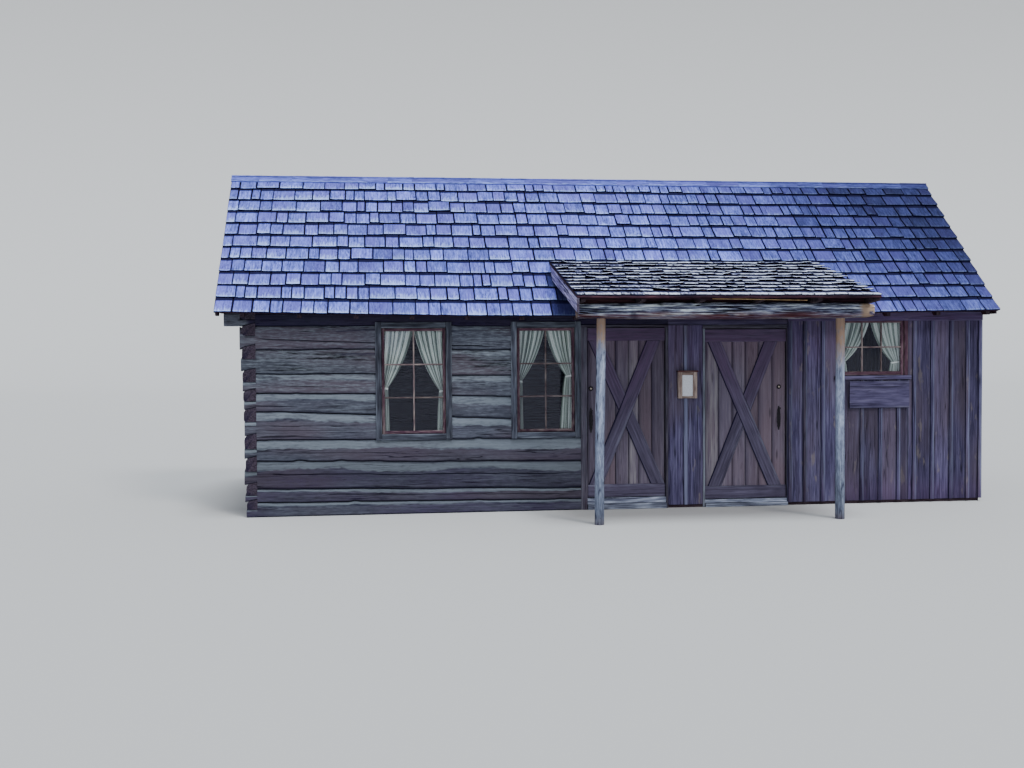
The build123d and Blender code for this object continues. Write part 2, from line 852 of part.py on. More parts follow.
def brace_outline(x_low, x_high, z_low, z_high):
    """Diagonal brace between the two rails, its ends cut level."""
    run = x_high - x_low
    rise = z_high - z_low
    angle = math.atan2(rise, abs(run))
    level_width = brace_width / math.sin(angle)
    side = 1 if run > 0 else -1
    inner_run = run - side * level_width
    angle = math.atan2(rise, abs(inner_run))
    level_width = side * brace_width / math.sin(angle)
    return [
        (x_low, z_low),
        (x_low + level_width, z_low),
        (x_high, z_high),
        (x_high - level_width, z_high),
    ]


def make_leaf(name, x, z, hinge_right, bolt_inset, brace_left, brace_right_foot, brace_right_head):
    """Plank door with rails and an X of braces, whose ends stand in from the leaf's edges.

    Its hinges are on the inner face.
    """
    rail_foot = (z[0], z[0] + door_rail_height)
    rail_head = (z[1] - door_rail_height, z[1])
    brace_y = (door_recess, door_recess + brace_thickness)
    with BuildPart() as leaf:
        block(x, (brace_y[1], leaf_back), z)
    save(leaf, f"{name}_leaf")

    with BuildPart() as braces:
        block(x, brace_y, rail_foot)
        block(x, brace_y, rail_head)
        left = x[0] + brace_left
        plane = front_plane(door_recess)
        for x_low, x_high in ((left, x[1] - brace_right_head), (x[1] - brace_right_foot, left)):
            profile = brace_outline(x_low, x_high, rail_foot[1], rail_head[0])
            outline(plane, profile, -brace_thickness)
    save(braces, f"{name}_braces")

    side = 1 if hinge_right else -1
    hinge_edge = x[1] if hinge_right else x[0]
    latch_edge = x[0] if hinge_right else x[1]
    pin_x = hinge_edge + side * hinge_side_gap / 2
    pin_y = leaf_back + hinge_radius + pin_gap
    with BuildPart() as hinges:
        span = z[1] - z[0] - 2 * door_rail_height
        for k in range(hinge_count):
            hinge_z = z[0] + door_rail_height + span * k / (hinge_count - 1)
            with BuildSketch(level_plane(hinge_z - hinge_length / 2)):
                with Locations((pin_x, pin_y)):
                    Circle(hinge_radius)
                flap_near = pin_x
                flap_far = hinge_edge - side * hinge_flap
                flap = (flap_near + flap_far) / 2
                with Locations((flap, leaf_back + hinge_flap_thickness / 2)):
                    Rectangle(abs(flap_far - flap_near), hinge_flap_thickness)
            extrude(amount=hinge_length)
    save(hinges, f"{name}_hinges")

    bolt_x = latch_edge + side * bolt_inset
    face_y = door_recess + brace_thickness
    with BuildPart() as latch:
        with BuildSketch(front_plane(face_y)):
            with Locations((bolt_x, bolt_height)):
                Circle(bolt_radius)
        extrude(amount=bolt_proud)
        pull_z = (pull_bottom, pull_bottom + pull_length)
        plate = pull_length / 4
        plate_x = (bolt_x - pull_width / 2, bolt_x + pull_width / 2)
        for foot in (pull_z[0], pull_z[1] - plate):
            block(plate_x, (face_y - pull_plate_thickness, face_y), (foot, foot + plate))
        grip_plane = side_plane(bolt_x)
        foot_y = face_y - pull_seat
        with BuildLine(grip_plane) as grip:
            ThreePointArc(
                (foot_y, pull_z[0] + plate / 2),
                (face_y - pull_reach, pull_bottom + pull_length / 2),
                (foot_y, pull_z[1] - plate / 2),
            )
        with BuildSketch(Plane(origin=grip.line @ 0, z_dir=grip.line % 0)):
            Circle(pull_radius)
        sweep(path=grip.line)
    save(latch, f"{name}_latch")


make_leaf(
    "left_door",
    left_door_x,
    left_door_z,
    hinge_right=True,
    bolt_inset=left_bolt_inset,
    brace_left=left_brace_latch_inset,
    brace_right_foot=left_brace_foot_inset,
    brace_right_head=left_brace_head_inset,
)
make_leaf(
    "right_door",
    right_door_x,
    right_door_z,
    hinge_right=False,
    bolt_inset=right_bolt_inset,
    brace_left=right_brace_hinge_inset,
    brace_right_foot=right_brace_foot_inset,
    brace_right_head=right_brace_head_inset,
)


# Porch

with BuildPart() as porch_beam:
    beam_middle = (beam_x[0] + beam_x[1]) / 2
    stations = (
        (beam_x[0], beam_end_height),
        (beam_middle, beam_middle_height),
        (beam_x[1], beam_end_height),
    )
    for x, height in stations:
        with BuildSketch(side_plane(x)):
            with Locations((porch_line_y, beam_axis_z)):
                Ellipse(beam_width / 2, height / 2)
    loft()
    split(bisect_by=Plane.XY.offset(beam_top), keep=Keep.BOTTOM)
    split(bisect_by=Plane.XY.offset(beam_bottom), keep=Keep.TOP)
save(porch_beam, "porch_beam")

with BuildPart() as porch_posts:
    left_foot_x = porch_x[0] + left_post_foot_inset
    left_head_x = porch_x[0] + left_post_head_inset
    right_post_x = porch_x[1] - right_post_inset
    for foot_x, head_x in ((left_foot_x, left_head_x), (right_post_x, right_post_x)):
        with BuildSketch(level_plane(0)) as foot:
            with Locations((foot_x, porch_line_y)):
                Circle(post_foot_radius)
        with BuildSketch(level_plane(beam_bottom)) as head:
            with Locations((head_x, porch_line_y)):
                Circle(post_head_radius)
        loft([foot.sketch, head.sketch])
save(porch_posts, "porch_posts")

porch_tail_y = porch_eave_y + porch_tail_setback
porch_far_y = ridge_y
beam_front_y = porch_line_y - beam_width / 2
drop = porch_rafter_depth / porch_cos
seat_end_y = porch_tail_y + (beam_top + drop - porch_rafter_top(porch_tail_y)) / porch_slope

with BuildPart() as porch_rafters:
    profile = [
        (porch_tail_y, porch_rafter_top(porch_tail_y)),
        (porch_far_y, porch_rafter_top(porch_far_y)),
        (porch_far_y, porch_rafter_top(porch_far_y) - drop),
        (seat_end_y, beam_top),
        (beam_front_y, beam_top),
        (porch_tail_y, porch_rafter_top(porch_tail_y) - porch_tail_depth),
    ]
    first = porch_x[0] + porch_side_board_thickness + porch_rafter_width / 2
    last = porch_x[1] - porch_rafter_width
    for k in range(porch_rafter_count):
        x = first + (last - first) * k / (porch_rafter_count - 1)
        outline(side_plane(x), profile, porch_rafter_width)
    split(bisect_by=main_roof_face, keep=Keep.TOP)
save(porch_rafters, "porch_rafters")

with BuildPart() as porch_side_board:
    side_drop = porch_side_board_depth / porch_cos
    profile = [
        (porch_eave_y, porch_rafter_top(porch_eave_y)),
        (porch_far_y, porch_rafter_top(porch_far_y)),
        (porch_far_y, porch_rafter_top(porch_far_y) - side_drop),
        (porch_eave_y, porch_rafter_top(porch_eave_y) - side_drop),
    ]
    outline(side_plane(porch_x[0]), profile, porch_side_board_thickness)
    split(bisect_by=main_roof_face, keep=Keep.TOP)
save(porch_side_board, "porch_side_board")

porch_width = porch_x[1] - porch_x[0]

with BuildPart() as porch_deck:
    profile = [
        (porch_eave_y, porch_deck_top(porch_eave_y)),
        (porch_far_y, porch_deck_top(porch_far_y)),
        (porch_far_y, porch_rafter_top(porch_far_y)),
        (porch_eave_y, porch_rafter_top(porch_eave_y)),
    ]
    outline(side_plane(porch_x[0]), profile, porch_width)
    split(bisect_by=main_roof_face, keep=Keep.TOP)
save(porch_deck, "porch_deck")

with BuildPart() as porch_shakes:
    meeting_z = deck_top(eave_y) + shake_butt * slope_cos + eave_reach * slope
    porch_zero_z = porch_deck_top(0) + porch_shake_butt / porch_cos
    meeting_y = (porch_zero_z - meeting_z) / (slope - porch_slope)
    run = (meeting_y - porch_eave_y) / porch_cos
    courses = shake_profile(run, porch_shake_exposure, porch_shake_butt, porch_shake_low)
    outline(slope_plane(porch_x[0], porch_eave_y, porch_eave_z, porch_pitch), courses, porch_width)
    split(bisect_by=main_roof_face, keep=Keep.TOP)
save(porch_shakes, "porch_shakes")


# Leaflet box and sign board

with BuildPart() as leaflet_box:
    box_y = (-batten_thickness - box_depth, -batten_thickness)
    body_z = (box_z[0], box_z[1] - box_lid_thickness)
    box_x = span(log_pen_length + box_from_pen, box_width)
    box_window_z = (body_z[0] + box_bottom_rail, body_z[1] - box_top_rail)
    block(box_x, box_y, body_z)
    lid_y = (box_y[0] - box_lid_overhang, box_y[1])
    block((box_x[0] - box_lid_overhang, box_x[1] + box_lid_overhang), lid_y, (body_z[1], box_z[1]))
    window_y = (box_y[0], box_y[0] + box_wall)
    block(inset(box_x, box_stile), window_y, box_window_z, mode=Mode.SUBTRACT)
save(leaflet_box, "leaflet_box")

with BuildPart() as sign_board:
    sign_x = span(window_3_x[1] - sign_inset - sign_width, sign_width)
    block(sign_x, (-batten_thickness - sign_thickness, -batten_thickness), sign_z)
    front_edges = sign_board.edges().group_by(Axis.Y)[0]
    chamfer(front_edges, length=sign_groove)
save(sign_board, "sign_board")
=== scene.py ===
import math

import bpy
import numpy as np
from mathutils import Matrix, Vector


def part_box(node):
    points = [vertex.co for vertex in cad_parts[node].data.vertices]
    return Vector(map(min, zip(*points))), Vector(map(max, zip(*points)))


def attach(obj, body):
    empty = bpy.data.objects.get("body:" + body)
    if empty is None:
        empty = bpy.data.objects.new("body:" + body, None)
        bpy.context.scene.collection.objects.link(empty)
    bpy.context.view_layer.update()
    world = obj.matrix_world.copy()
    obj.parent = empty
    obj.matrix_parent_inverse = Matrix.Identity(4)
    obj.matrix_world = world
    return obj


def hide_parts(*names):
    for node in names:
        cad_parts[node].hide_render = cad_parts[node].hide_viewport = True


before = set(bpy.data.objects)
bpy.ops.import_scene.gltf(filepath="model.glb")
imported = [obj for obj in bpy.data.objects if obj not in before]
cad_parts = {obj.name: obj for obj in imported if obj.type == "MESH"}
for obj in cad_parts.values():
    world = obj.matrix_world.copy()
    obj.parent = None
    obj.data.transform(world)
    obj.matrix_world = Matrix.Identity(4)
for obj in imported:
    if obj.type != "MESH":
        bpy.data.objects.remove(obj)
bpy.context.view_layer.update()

# Sizes are in metres. Local x runs from the outer left corner of the log wall, local y from the
# outer face of the front wall towards the back, z from the ground. ORIGIN is that corner.
ORIGIN = np.array([-4.4, -1.01, 0.0])
RIGHT, BACK, UP = np.eye(3)

WALL_LENGTH, DEPTH = 8.98, 3.24
LOG = 0.17
PEN_END = 5.005
PLATE_TOP = 2.489
ROOF_LEFT, ROOF_RIGHT = -0.26, 9.06
PITCH = math.radians(43.0)
PORCH_PITCH = math.radians(14.75)


def add_object(name, data):
    """New object in the scene."""
    thing = bpy.data.objects.new(name, data)
    bpy.context.scene.collection.objects.link(thing)
    return thing


def aim_camera(place, yaw, pitch, roll, focal_px):
    """Sets the camera by its heading to the right of +Y, its tilt and its roll, all in radians."""
    flat = Vector((math.cos(yaw), -math.sin(yaw), 0))
    ahead = Vector((math.sin(yaw), math.cos(yaw), 0))
    forward = ahead * math.cos(pitch) + Vector((0, 0, math.sin(pitch)))
    tilted = -ahead * math.sin(pitch) + Vector((0, 0, math.cos(pitch)))
    right = flat * math.cos(roll) + tilted * math.sin(roll)
    up = -flat * math.sin(roll) + tilted * math.cos(roll)
    data = bpy.data.cameras.new("camera")
    data.sensor_width = 36.0
    data.lens = focal_px / 1024 * data.sensor_width
    data.clip_start, data.clip_end = 0.1, 200
    camera = add_object("camera", data)
    camera.matrix_world = Matrix.Translation(place) @ Matrix((right, up, -forward)).transposed().to_4x4()
    bpy.context.scene.camera = camera


# The place, turn and lens that the photograph was taken with
aim_camera((-2.8923, -14.3138, 1.9146), 0.1209, -0.0305, -0.0063, 1140.5)


# Smooth noise for shapes

def lattice(i, j, seed):
    """A fixed number from -1 to 1 for each whole pair (i, j)."""
    n = (i * 374761393 + j * 668265263 + seed * 144269504) & 0xFFFFFFFF
    n = ((n ^ (n >> 13)) * 1274126177) & 0xFFFFFFFF
    return ((n ^ (n >> 16)) & 0xFFFF) / 32767.5 - 1


def noise(x, y, seed=0):
    """Smooth noise from -1 to 1 that changes over about one unit."""
    x, y = np.broadcast_arrays(np.asarray(x, float), np.asarray(y, float))
    i, j = np.floor(x).astype(np.int64), np.floor(y).astype(np.int64)
    s, t = x - i, y - j
    s, t = s * s * (3 - 2 * s), t * t * (3 - 2 * t)
    low = lattice(i, j, seed) * (1 - s) + lattice(i + 1, j, seed) * s
    high = lattice(i, j + 1, seed) * (1 - s) + lattice(i + 1, j + 1, seed) * s
    return low * (1 - t) + high * t


def ramp(x, start, end):
    """Smooth step from 0 at start to 1 at end."""
    t = np.clip((x - start) / (end - start), 0, 1)
    return t * t * (3 - 2 * t)


def pairs(edges):
    return zip(edges[:-1], edges[1:])


def stack(*parts):
    """Numbers or arrays as one array of points."""
    return np.stack(np.broadcast_arrays(*parts), -1)


# Meshes. Each point has its place in the wood, which the grain follows, and four marks: how pale it is
# (pale wear, and painted light), how dark (mostly painted shade, also knots and rot holes), how red
# (red staining, and painted reddish shade) and the tone of the whole piece, which in places is painted
# shade too.

PALE, DARK, RED, TONE = range(4)
FIELDS = {"grain": ("FLOAT_VECTOR", "POINT", "vector"), "mark": ("FLOAT_COLOR", "POINT", "color"),
          "end": ("FLOAT", "FACE", "value"), "fold": ("FLOAT", "POINT", "value")}


def make_piece(name, body, slot, material, nodes, co, faces, sharp=None, **fields):
    """Mesh piece that rides on a body and stands for the named nodes."""
    mesh = bpy.data.meshes.new(name)
    mesh.from_pydata((co + ORIGIN).tolist(), [], faces)
    for field, values in fields.items():
        kind, domain, key = FIELDS[field]
        mesh.attributes.new(field, kind, domain).data.foreach_set(key, np.ravel(values).astype(np.float32))
    mesh.shade_smooth()
    if sharp:
        mesh.set_sharp_from_angle(angle=math.radians(sharp))
    mesh.materials.append(material)
    piece = add_object(name, mesh)
    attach(piece, body)
    if nodes:
        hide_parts(*nodes)
    return piece


class Heap:
    """Collects swept solids and makes one piece of them."""

    def __init__(self):
        self.co, self.grain, self.mark, self.faces, self.end = [], [], [], [], []
        self.count = 0

    def sweep(self, ring, grain, mark):
        """Closed solid through rings of points (stations, points, 3), with a face over each end."""
        n, m = ring.shape[:2]
        k = np.arange(n * m).reshape(n, m)
        a, b = k[:-1], k[1:]
        quads = np.stack([a, np.roll(a, -1, 1), np.roll(b, -1, 1), b], -1).reshape(-1, 4)
        points = ring.reshape(-1, 3)
        q = (points - points.mean(0))[quads]
        volume = (np.cross(q[:, 0], q[:, 1]) * q[:, 2] + np.cross(q[:, 0], q[:, 2]) * q[:, 3]).sum()
        first, last = k[0][::-1], k[-1]
        if volume < 0:
            quads, first, last = quads[:, ::-1], first[::-1], last[::-1]
        self.co.append(points)
        self.grain.append(np.broadcast_to(grain, ring.shape).reshape(-1, 3))
        self.mark.append(np.broadcast_to(mark, (n, m, 4)).reshape(-1, 4))
        self.faces += (quads + self.count).tolist()
        self.faces += [(first + self.count).tolist(), (last + self.count).tolist()]
        self.end += [0.0] * len(quads) + [1.0, 1.0]
        self.count += n * m

    def build(self, name, body, slot, material, *nodes, sharp=32.0):
        make_piece(name, body, slot, material, nodes, np.concatenate(self.co), self.faces, sharp,
                   grain=np.concatenate(self.grain), mark=np.concatenate(self.mark), end=self.end)


def grain_shift(seed):
    """Takes each piece from another place in the wood."""
    return np.random.default_rng(seed).uniform(0, 40, 3)


def blank_mark(shape, tone=0.5):
    mark = np.zeros((*shape, 4))
    mark[..., TONE] = tone
    return mark


def plank(heap, origin, along, across, out, size, seed, step=0.14, edge=0.003, wander=0.0015,
          bow=0.002, rough=0.0007, rows=2, tone=None, paint=None):
    """Board whose back lies at origin: size is its length, width and thickness.

    Its face and edges only fall back from the size given, so it stays in its solid.
    """
    length, width, thick = size
    pick = np.random.default_rng(seed)
    n = max(3, int(length / step) + 2)
    u = np.linspace(0, length, n)[:, None]
    edge = min(edge, width / 4, thick / 3)
    v = np.array([0, 0, *np.linspace(edge, width - edge, rows + 2), width, width])[None]
    w = np.array([0, thick - edge, *[thick] * (rows + 2), thick - edge, 0])[None]
    middle = (v - width / 2) / (width / 2)
    v_moved = v - wander * (1 + noise(u / 0.35, np.sign(middle) + 1.7 * seed, 3)) * middle
    fall = bow * (1 + noise(u / 0.9, seed * 1.3 + 0 * v, 5)) / 2
    fall = fall + rough * (1 + noise(u / 0.05, v / 0.015 + seed, 7))
    w_moved = w - np.where(w > thick / 2, fall, 0)
    u, v, w = (a[..., None] for a in np.broadcast_arrays(u, v_moved, w_moved))
    ring = np.asarray(origin) + u * along + v * across + w * out
    grain = np.concatenate([u, v, w], -1) + pick.uniform(0, 40, 3)
    mark = blank_mark(ring.shape[:2], pick.uniform() if tone is None else tone)
    mark[:, [1, 2, -3, -2], PALE] = 0.3
    if paint:
        paint(mark, u[..., 0], ring[..., 2])
    heap.sweep(ring, grain, mark)


def upright(heap, at, wide, tall, deep, seed, **look):
    """Standing board on the front: at is its left foot, at its back."""
    plank(heap, at, UP, RIGHT, -BACK, (tall, wide, deep), seed, **look)


def level(heap, at, long, tall, deep, seed, **look):
    """Lying board on the front."""
    plank(heap, at, RIGHT, UP, -BACK, (long, tall, deep), seed, **look)


def even(**shares):
    """Paint that gives the whole board the same marks."""
    def paint(mark, u, z):
        for name, share in shares.items():
            mark[..., ("pale", "dark", "red", "tone").index(name)] = share
    return paint


def box_of(node):
    """A CAD node's lowest and highest corners, in local coordinates."""
    lo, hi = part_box(node)
    return np.array(lo) - ORIGIN, np.array(hi) - ORIGIN


# Materials

# Painted light: a blue tint for the light of open shade, laid over every wood colour
SHADE_CAST = (1.0, 1.06, 1.3)
DEEP_SHADE = (0.003, 0.0025, 0.022)


def times(colour, factor):
    """Colour times a number or another colour."""
    factors = factor if isinstance(factor, tuple) else (factor,) * 3
    return tuple(a * b for a, b in zip(colour, factors))


class Shader:
    """Short calls that add nodes to one new material."""

    def __init__(self, name):
        self.material = bpy.data.materials.new(name)
        self.material.use_nodes = True
        tree = self.material.node_tree
        tree.nodes.clear()
        self.nodes, self.links = tree.nodes, tree.links

    def feed(self, socket, value):
        """Sets a socket to a number or colour, or links it to another node's output."""
        if isinstance(value, bpy.types.NodeSocket):
            self.links.new(value, socket)
        elif isinstance(value, tuple) and len(value) == 3 and len(socket.default_value) == 4:
            socket.default_value = (*value, 1)
        else:
            socket.default_value = value

    def add(self, kind, inputs, output=0, **settings):
        """Adds a node, feeds its inputs by name or number and returns one output."""
        node = self.nodes.new(kind)
        for key, value in settings.items():
            setattr(node, key, value)
        for key, value in inputs.items():
            self.feed(node.inputs[key], value)
        return node.outputs[output]

    def field(self, name, output="Fac"):
        return self.add("ShaderNodeAttribute", {}, output, attribute_name=name)

    def place(self):
        return self.add("ShaderNodeTexCoord", {}, "Object")

    def math(self, operation, a, b=0.0):
        return self.add("ShaderNodeMath", {0: a, 1: b}, operation=operation)

    def weigh(self, *terms):
        """Sum of values, each times its weight."""
        total = None
        for value, weight in terms:
            part = self.math("MULTIPLY", value, weight)
            total = part if total is None else self.math("ADD", total, part)
        return total

    def mix(self, share, a, b, blend="MIX"):
        """Mixes two colours by a share."""
        return self.add("ShaderNodeMix", {0: share, 6: a, 7: b}, 2, data_type="RGBA", blend_type=blend)

    def stretch(self, vector, scale):
        """Coordinates times a scale along the grain and one across it, or one for each axis."""
        return self.add("ShaderNodeVectorMath", {0: vector, 1: (*scale, scale[-1])[:3]}, operation="MULTIPLY")

    def noise(self, vector, scale, detail=4.0, roughness=0.55):
        return self.add("ShaderNodeTexNoise", {"Vector": self.stretch(vector, scale), "Scale": 1.0,
                                               "Detail": detail, "Roughness": roughness})

    def ramp(self, share, *stops):
        """Colours at stops between 0 and 1."""
        node = self.nodes.new("ShaderNodeValToRGB")
        elements = node.color_ramp.elements
        while len(elements) < len(stops):
            elements.new(1.0)
        for element, (place, colour) in zip(elements, stops):
            element.position, element.color = place, (*colour, 1)
        self.feed(node.inputs[0], share)
        return node.outputs[0]

    def spread(self, value, low, high, to_low=0.0, to_high=1.0):
        """Maps a range of a value onto another, and stops at its ends."""
        return self.add("ShaderNodeMapRange", {"Value": value, "From Min": low, "From Max": high,
                                               "To Min": to_low, "To Max": to_high})

    def bump(self, strength, distance, height):
        return self.add("ShaderNodeBump", {"Strength": strength, "Distance": distance, "Height": height})

    def surface(self, colour, roughness, **more):
        """Principled shader; in a further input's name, _ stands for a space."""
        inputs = {key.replace("_", " "): value for key, value in more.items()}
        return self.add("ShaderNodeBsdfPrincipled", {"Base Color": colour, "Roughness": roughness, **inputs})

    def finish(self, shader):
        out = self.nodes.new("ShaderNodeOutputMaterial")
        self.links.new(shader, out.inputs["Surface"])
        return self.material


# The red mark mixes in a dark reddish colour: real red staining on some pieces, painted reddish shade under
# the eaves and roofs on others.
def wood(name, dark, mid, light, pale=None, stain_and_shade=(0.075, 0.034, 0.045), end=(0.03, 0.02, 0.022),
         coarse=(2.2, 26), fine=(5, 130), patch=(0.9, 4.5), mottle=(10, 42), spread=(0.415, 0.585),
         knots=0.5, bump=0.6, tone_range=(0.72, 1.3), hues=None, blots=None, from_mesh=True, cracks=0.6,
         crack_scale=(0.9, 32), crack_width=(0.012, 0.034), flecks=0.45, fleck_scale=(8, 50)):
    """Weathered wood. Grain follows the mesh's own coordinates, or the axes of a CAD node.

    The colours are those of plain wood, and a blue tint over them all is painted light: the blue of open
    shade.
    """
    s = Shader(name)
    dark, mid, light, pale, stain_and_shade, end = (times(colour, SHADE_CAST) for colour in (
        dark, mid, light, pale or light, stain_and_shade, end))
    if from_mesh:
        co = s.field("grain", "Vector")
        marks = s.field("mark", "Color")
        tone = s.nodes[-1].outputs["Alpha"]
        split = s.nodes.new("ShaderNodeSeparateColor")
        s.links.new(marks, split.inputs[0])
        pale_share, dark_share, red_share = split.outputs
        ends = s.field("end")
    else:
        co = s.place()
    streaks = s.noise(co, coarse, 5.0, 0.6)
    hairs = s.noise(co, fine, 3.0, 0.6)
    blotch = s.noise(co, patch, 3.0, 0.5)
    specks = s.noise(co, mottle, 3.0, 0.55)
    mixed = s.weigh((streaks, 0.34), (hairs, 0.2), (blotch, 0.2), (specks, 0.26))
    colour = s.ramp(s.spread(mixed, *spread), (0.0, dark), (0.5, mid), (1.0, light))
    if hues:
        drift = s.noise(co, (0.5, 1.6), 2.0)
        colour = s.mix(s.spread(drift, 0.45, 0.6, 0.0, 0.6), colour, times(hues, SHADE_CAST))
    if blots:
        stains = s.noise(co, (3.2, 9), 3.0, 0.6)
        colour = s.mix(s.spread(stains, 0.63, 0.7, 0.0, 0.7), colour, times(blots, SHADE_CAST))
    if flecks:
        dots = s.noise(co, fleck_scale, 2.0, 0.5)
        colour = s.mix(s.spread(dots, 0.64, 0.71, 0.0, flecks), colour, times(dark, 0.35))
    if cracks:
        lines = s.noise(co, crack_scale, 2.0, 0.5)
        ridge = s.math("ABSOLUTE", s.math("SUBTRACT", lines, 0.5))
        where = s.spread(s.noise(co, (0.8, 5), 2.0), 0.45, 0.56, 0.0, cracks)
        split_line = s.math("MULTIPLY", s.spread(ridge, *crack_width, 1.0, 0.0), where)
        colour = s.mix(split_line, colour, times(dark, 0.15))
    if knots:
        cells = s.add("ShaderNodeTexVoronoi", {"Vector": s.stretch(co, (1.6, 7.5)), "Scale": 1.0}, "Distance")
        colour = s.mix(s.spread(cells, 0.05, 0.13, knots, 0.0), colour, times(dark, 0.35))
    height = s.weigh((streaks, 0.6), (hairs, 0.25), (specks, 0.3))
    if cracks:
        height = s.math("SUBTRACT", height, s.math("MULTIPLY", split_line, 0.8))
    if from_mesh:
        ragged = s.math("ADD", pale_share, s.spread(specks, 0.3, 0.7, -0.28, 0.28))
        ragged = s.math("ADD", ragged, s.spread(streaks, 0.3, 0.7, -0.22, 0.22))
        pale_part = s.math("MULTIPLY", s.spread(ragged, 0.1, 0.8), s.spread(pale_share, 0.0, 0.3))
        colour = s.mix(pale_part, colour, s.mix(s.spread(mixed, *spread), times(pale, 0.62), pale))
        colour = s.mix(s.math("MULTIPLY", red_share, s.spread(specks, 0.35, 0.65, 0.4, 1.0)), colour, stain_and_shade)
        grey_tone = s.spread(tone, 0.0, 1.0, *tone_range)
        shade = s.add("ShaderNodeCombineColor", {0: grey_tone, 1: grey_tone, 2: grey_tone})
        colour = s.mix(1.0, colour, shade, "MULTIPLY")
        end_tint = s.mix(s.spread(specks, 0.35, 0.65), times(end, 0.55), times(end, 1.5))
        colour = s.mix(s.math("MULTIPLY", ends, s.spread(hairs, 0.3, 0.7, 0.8, 1.0)), colour, end_tint)
        colour = s.mix(dark_share, colour, DEEP_SHADE)
    dull = s.spread(hairs, 0.3, 0.7, 0.78, 0.95)
    normal = s.bump(bump, 0.006, height)
    return s.finish(s.surface(colour, dull, Normal=normal, Specular_IOR_Level=0.1))


def iron(name, colour=(0.006, 0.005, 0.008), shine=0.0):
    """Old blackened iron with worn, slightly rusty spots."""
    s = Shader(name)
    wear = s.noise(s.place(), (60, 60), 5.0, 0.65)
    tint = s.ramp(wear, (0.35, colour), (0.62, times(colour, 1.8)), (0.85, times(colour, 3)))
    normal = s.bump(0.25, 0.001, wear)
    return s.finish(s.surface(tint, s.spread(wear, 0.3, 0.7, 0.45, 0.75), Normal=normal, Metallic=shine,
                              Specular_IOR_Level=0.25))


def glass(name):
    """Clear old window pane, which lets light through and mirrors at low angles."""
    s = Shader(name)
    normal = s.bump(0.12, 0.01, s.noise(s.place(), (5, 5, 3), 2.0))
    clear = s.add("ShaderNodeBsdfTransparent", {"Color": (0.92, 0.935, 0.935)})
    mirror = s.add("ShaderNodeBsdfGlossy", {"Color": (0.42, 0.42, 0.55), "Roughness": 0.03, "Normal": normal})
    facing = s.add("ShaderNodeLayerWeight", {"Blend": 0.5, "Normal": normal}, "Facing")
    share = s.math("ADD", s.math("MULTIPLY", s.math("POWER", facing, 5.0), 0.9), 0.04)
    return s.finish(s.add("ShaderNodeMixShader", {0: share, 1: clear, 2: mirror}))


def cloth(name):
    """Sheer white curtain cloth with a fine weave; its folds are painted as lighter and darker stripes,
    painted light and shade, and its slight green tint is a painted reflection of foliage.
    """
    s = Shader(name)
    co, fold = s.field("grain", "Vector"), s.field("fold")
    thread = {"Vector": co, "Scale": 260.0, "Distortion": 0.6}
    warp, weft = (s.add("ShaderNodeTexWave", thread, bands_direction=way) for way in "XY")
    weave = s.math("MULTIPLY", warp, weft)
    cloudy = s.weigh((s.noise(co, (9, 3), 3.0), 0.3), (fold, 0.7))
    tint = s.ramp(cloudy, (0.25, (0.13, 0.17, 0.155)), (0.45, (0.48, 0.565, 0.515)),
                  (0.66, (0.96, 1.0, 0.975)))
    normal = s.bump(0.3, 0.0005, weave)
    skin = s.surface(tint, 0.85, Normal=normal, Sheen_Weight=0.3)
    through = s.add("ShaderNodeBsdfTranslucent", {"Color": tint, "Normal": normal})
    return s.finish(s.add("ShaderNodeMixShader", {0: 0.2, 1: skin, 2: through}))


def paper(name):
    s = Shader(name)
    tint = s.ramp(s.noise(s.place(), (90, 90), 4.0), (0.3, (0.5, 0.52, 0.58)), (0.7, (0.66, 0.68, 0.74)))
    return s.finish(s.surface(tint, 0.6))


HEWN = wood("hewn_logs", (0.03, 0.031, 0.035), (0.06, 0.063, 0.067), (0.114, 0.124, 0.124),
            pale=(0.17, 0.187, 0.18), stain_and_shade=(0.054, 0.031, 0.074), end=(0.04, 0.027, 0.034),
            hues=(0.07, 0.05, 0.054), coarse=(2.4, 44), fine=(9, 150), mottle=(13, 60), patch=(1.1, 9),
            bump=0.9, cracks=0.9, spread=(0.37, 0.63), crack_scale=(0.8, 22), crack_width=(0.01, 0.035),
            flecks=0.4, fleck_scale=(9, 60))
BOARDS = wood("weathered_boards", (0.014, 0.012, 0.023), (0.05, 0.041, 0.072), (0.12, 0.102, 0.152),
              pale=(0.13, 0.13, 0.17), stain_and_shade=(0.078, 0.04, 0.08), hues=(0.078, 0.057, 0.062),
              blots=(0.13, 0.105, 0.09), coarse=(1.0, 34), mottle=(3, 50), patch=(0.7, 8), knots=0.7,
              bump=0.7, flecks=0.3, spread=(0.37, 0.63))
# The shakes' near-black end colour is painted shade on their butts, their pale painted sunlight
SHAKES = wood("roof_shakes", (0.022, 0.03, 0.084), (0.125, 0.145, 0.42), (0.262, 0.303, 0.75),
              pale=(0.4, 0.5, 0.77), hues=(0.12, 0.105, 0.34), end=(0.0015, 0.0015, 0.014),
              coarse=(3.5, 45), fine=(8, 200), patch=(3, 8), mottle=(14, 60), knots=0.0, bump=0.45,
              tone_range=(0.12, 1.25), spread=(0.36, 0.64), cracks=0.5, crack_scale=(2.5, 55), flecks=0.3,
              fleck_scale=(10, 60))
# The porch shakes' near-white pale is painted sunlight on their butts, their near-black ends painted shade
OLD_SHAKES = wood("porch_shakes", (0.014, 0.014, 0.03), (0.2, 0.205, 0.37), (0.64, 0.68, 0.95),
                  pale=(0.93, 0.96, 0.96), end=(0.001, 0.001, 0.008), coarse=(6, 40), fine=(10, 200),
                  patch=(4, 12), knots=0.0, bump=0.8, tone_range=(0.35, 1.1), crack_scale=(5, 50))
